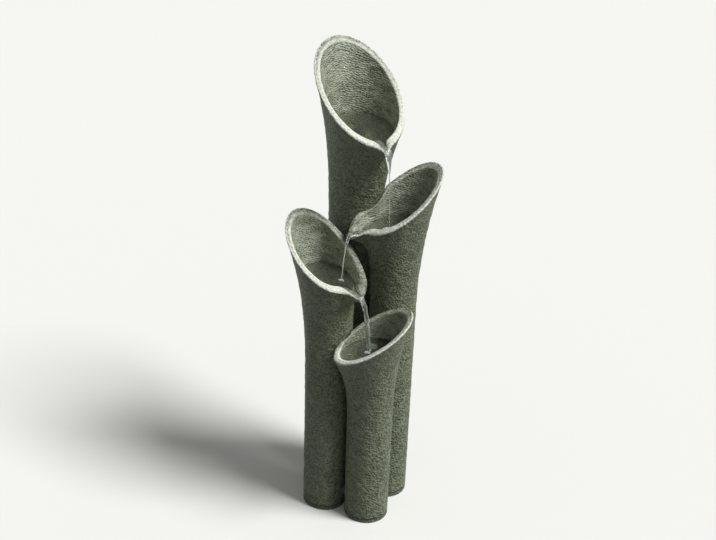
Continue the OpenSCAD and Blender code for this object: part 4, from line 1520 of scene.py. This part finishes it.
@dataclass
class Foam:
    """Bubbles where a stream lands: the caps of many seeded bubbles on one closed mound.

    Bubbles lie out to spread, a share of the way to the edge, and are smaller further out and by
    chance. The underside is a shallow dish just under the water.
    """

    name: str
    middle: tuple[float, float, float]
    half_axes: tuple[float, float]
    turn: float
    seed: int
    bubbles: int = 60
    largest: float = 3.6
    spread: float = 0.92
    edge_loss: float = 0.65
    smallest_share: float = 0.45
    cap_share: float = 0.8
    under: float = 1.0
    dish_share: float = 0.6
    rings: int = 40
    steps: int = 96
    finish: Finish = FROTH

    def build(self) -> bpy.types.Object:
        """Makes the mound: its height is the highest cap of any bubble over each point.

        Returns:
            The new piece.
        """
        rng = np.random.default_rng(self.seed)
        reach = np.sqrt(rng.random(self.bubbles)) * self.spread
        where = reach[:, None] * direction(rng.random(self.bubbles) * 360.0)
        where = where * np.array(self.half_axes)
        chance = self.smallest_share + (1.0 - self.smallest_share) * rng.random(self.bubbles)
        radius = self.largest * (1.0 - self.edge_loss * reach) * chance
        share = np.linspace(1.0, 0.0, self.rings + 1)[:-1]
        ring = unit_circle(self.steps) * np.array(self.half_axes)
        flat = share[:, None, None] * ring
        apart = ((flat[:, :, None] - where) ** 2).sum(axis=-1)
        cap = np.sqrt(np.maximum(radius**2 - apart, 0.0)).max(axis=-1)
        dish = raised(self.dish_share * ring, -self.under * 2.0 * self.dish_share)
        edge = raised(ring, -self.under)
        top = raised(flat, cap * self.cap_share)
        local = np.concatenate([dish[None], edge[None], top])
        along, across = direction(self.turn), direction(self.turn + 90.0)
        plan = local[..., :1] * along + local[..., 1:2] * across
        points = np.array(self.middle) + raised(plan, local[..., 2])
        return add_piece(self.name, *closed_surface(points), self.finish, Body.FOUNTAIN)


@dataclass
class Works:
    """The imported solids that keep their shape: each takes the finish of its slot."""

    nodes: Mapping[str, bpy.types.Object]
    record: Mapping[str, Any]
    finishes: Mapping[Slot, Finish] = field(default_factory=lambda: FINISHES)

    def dress(self) -> None:
        """Gives every node the material of its record slot."""
        for part in self.record["subparts"]:
            node = self.nodes.get(part["node"])
            if node is None:
                continue
            finish = self.finishes[Slot(part["material_slot"])]
            node.data.materials.clear()
            node.data.materials.append(finish.material())
            LOG.info("%s: %s", part["node"], finish.name)


@dataclass
class Studio:
    """Pale floor, a soft lamp, a soft sky and the camera of the front view.

    The lamp is far away, so that the floor is evenly lit. The sky is brighter overhead.
    """

    floor_half: float = 8000.0
    floor_level: float = -0.2
    floor_roughness: float = 0.9
    floor_colour: str = "#e9e9e5"
    floor_bounce: str = "#3a3a36"
    backdrop: str = "#f7f8f4"
    key_strength: float = 3.35
    key_turn: float = -20.0
    key_rise: float = 55.0
    key_angle: float = 22.0
    sky_colour: str = "#ffffff"
    sky_low: float = 0.0
    sky_high: float = 0.33
    sky_top: float = 0.9
    camera_at: tuple[float, float, float] = (13.1, -2717.0, 2189.0)
    yaw: float = -0.48
    pitch: float = 30.98
    roll: float = 2.07
    focal: float = 1589.0
    photo_width: float = 716.0
    sensor: float = 36.0
    view_reach: float = 50000.0

    def seen(self, tree: bpy.types.NodeTree) -> bpy.types.NodeSocket:
        """Tells rays that show the floor or the sky itself from those that light the object.

        Args:
            tree: The floor's or the world's nodes.

        Returns:
            1 for the first kind and 0 for the second.
        """
        rays = [add_node(tree, "ShaderNodeLightPath", output=name)
                for name in ("Is Camera Ray", "Is Glossy Ray", "Is Transmission Ray")]
        either = add_node(tree, "ShaderNodeMath", {0: rays[0], 1: rays[1]}, operation="MAXIMUM")
        return add_node(tree, "ShaderNodeMath", {0: either, 1: rays[2]}, operation="MAXIMUM")

    def build_floor(self) -> None:
        """A square floor just below the base, pale to the eye and darker in what it throws back."""
        corners = np.array([(-1.0, -1.0), (1.0, -1.0), (1.0, 1.0), (-1.0, 1.0)]) * self.floor_half
        corners = raised(corners, self.floor_level)
        floor = add_mesh("studio_floor", corners, [(0, 1, 2, 3)])
        material = bpy.data.materials.new("matt_paper_floor")
        tree = emptied(material)
        colour = add_node(tree, "ShaderNodeMix", {
            0: self.seen(tree), 6: linear(self.floor_bounce), 7: linear(self.floor_colour)}, 2,
            data_type="RGBA")
        shader = add_node(tree, "ShaderNodeBsdfPrincipled", {
            "Base Color": colour, "Roughness": self.floor_roughness}, "BSDF")
        add_node(tree, "ShaderNodeOutputMaterial", {"Surface": shader})
        floor.data.materials.append(material)

    def build_lamp(self) -> None:
        """One far lamp, high on the right, as wide to the eye as a large soft box."""
        lamp = bpy.data.lights.new("key_lamp", "SUN")
        lamp.energy = self.key_strength
        lamp.angle = math.radians(self.key_angle)
        holder = bpy.data.objects.new("key_lamp", lamp)
        plan = direction(self.key_turn) * math.cos(math.radians(self.key_rise))
        source = Vector((plan[0], plan[1], math.sin(math.radians(self.key_rise))))
        holder.rotation_euler = source.to_track_quat("Z", "Y").to_euler()
        bpy.context.scene.collection.objects.link(holder)

    def build_sky(self) -> None:
        """Even light from above, and a pale backdrop where the eye sees it."""
        world = bpy.data.worlds.new("soft_sky")
        bpy.context.scene.world = world
        tree = emptied(world)
        way = add_node(tree, "ShaderNodeTexCoord", output="Generated")
        rise = add_node(tree, "ShaderNodeSeparateXYZ", {0: way}, "Z")
        lit = add_node(tree, "ShaderNodeMapRange", {
            0: rise, 1: 0.0, 2: self.sky_top, 3: self.sky_low, 4: self.sky_high})
        seen = self.seen(tree)
        strength = add_node(tree, "ShaderNodeMix", {0: seen, 2: lit, 3: 1.0})
        colour = add_node(tree, "ShaderNodeMix", {
            0: seen, 6: linear(self.sky_colour), 7: linear(self.backdrop)}, 2, data_type="RGBA")
        shader = add_node(tree, "ShaderNodeBackground", {"Color": colour, "Strength": strength})
        add_node(tree, "ShaderNodeOutputWorld", {"Surface": shader})

    def build_camera(self) -> None:
        """Camera of the front view: aimed by yaw and pitch, then rolled."""
        yaw, pitch, roll = (math.radians(a) for a in (self.yaw, self.pitch, self.roll))
        ahead = Vector((
            math.sin(yaw) * math.cos(pitch), math.cos(yaw) * math.cos(pitch), -math.sin(pitch)))
        right = Vector((math.cos(yaw), -math.sin(yaw), 0.0))
        up = right.cross(ahead)
        side = right * math.cos(roll) + up * math.sin(roll)
        top = up * math.cos(roll) - right * math.sin(roll)
        lens = bpy.data.cameras.new("front_camera")
        lens.sensor_fit = "HORIZONTAL"
        lens.sensor_width = self.sensor
        lens.lens = self.focal / self.photo_width * self.sensor
        lens.clip_end = self.view_reach * METRES
        camera = bpy.data.objects.new("front_camera", lens)
        turn = Matrix((side, top, -ahead)).transposed().to_4x4()
        camera.matrix_world = Matrix.Translation(Vector(self.camera_at) * METRES) @ turn
        bpy.context.scene.collection.objects.link(camera)
        bpy.context.scene.camera = camera

    def build(self) -> None:
        """Sets the view transform and makes floor, lamp, sky and camera."""
        bpy.context.scene.view_settings.view_transform = "Standard"
        self.build_floor()
        self.build_lamp()
        self.build_sky()
        self.build_camera()


def build_water() -> None:
    """Fills the mouths and runs the water from lip to lip."""
    pools = [
        Pool(tube, source) for tube, source in (
            (TALL, (-18.0, 84.0)), (RIGHT, (48.0, -24.0)), (LEFT, (-40.0, -50.0)),
            (FRONT, (19.0, -86.0)))]
    streams = [
        Stream("tall_stream", TALL, (48.0, -36.0, 676.0),
               width=7.5, thickness=1.2, end_width=0.9, end_thickness=0.7),
        Stream("right_stream_left", RIGHT, (-42.0, -49.0, 562.5),
               width=4.0, thickness=1.2, end_width=1.0, end_thickness=0.9, side=5.5, sheet=0.2),
        Stream("right_stream_right", RIGHT, (-40.0, -51.0, 562.5),
               width=4.0, thickness=1.2, end_width=1.1, end_thickness=0.9, side=-5.5, sheet=0.2),
        Stream("left_stream", LEFT, (19.0, -86.0, 419.5),
               width=6.0, thickness=1.5, end_width=4.2, end_thickness=2.2)]
    foams = [
        Foam("tall_stream_foam", (49.0, -37.0, 676.0), (14.0, 5.0), turn=0.0, seed=31),
        Foam("right_stream_foam", (-42.0, -50.0, 563.2), (7.0, 3.2), turn=160.0, seed=32,
             bubbles=22, largest=2.6),
        Foam("left_stream_foam", (15.0, -88.0, 420.0), (6.0, 5.0), turn=0.0, seed=33,
             bubbles=16, largest=4.2)]
    for part in pools + streams + foams:
        part.build()


def main() -> None:
    """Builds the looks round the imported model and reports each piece."""
    logging.basicConfig(level=logging.INFO, format="%(name)s %(message)s")
    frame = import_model()
    Works(frame["nodes"], frame["record"]).dress()
    tall = Casting(TALL)
    hatch = Hatch(tall)
    hatch.cut(tall.build())
    hatch.build()
    for tube, back_paint in ((RIGHT, 0.75), (LEFT, 0.75), (FRONT, 0.5)):
        Casting(tube, back_paint).build()
    build_water()
    Studio().build()


if __name__ == "__main__":
    main()
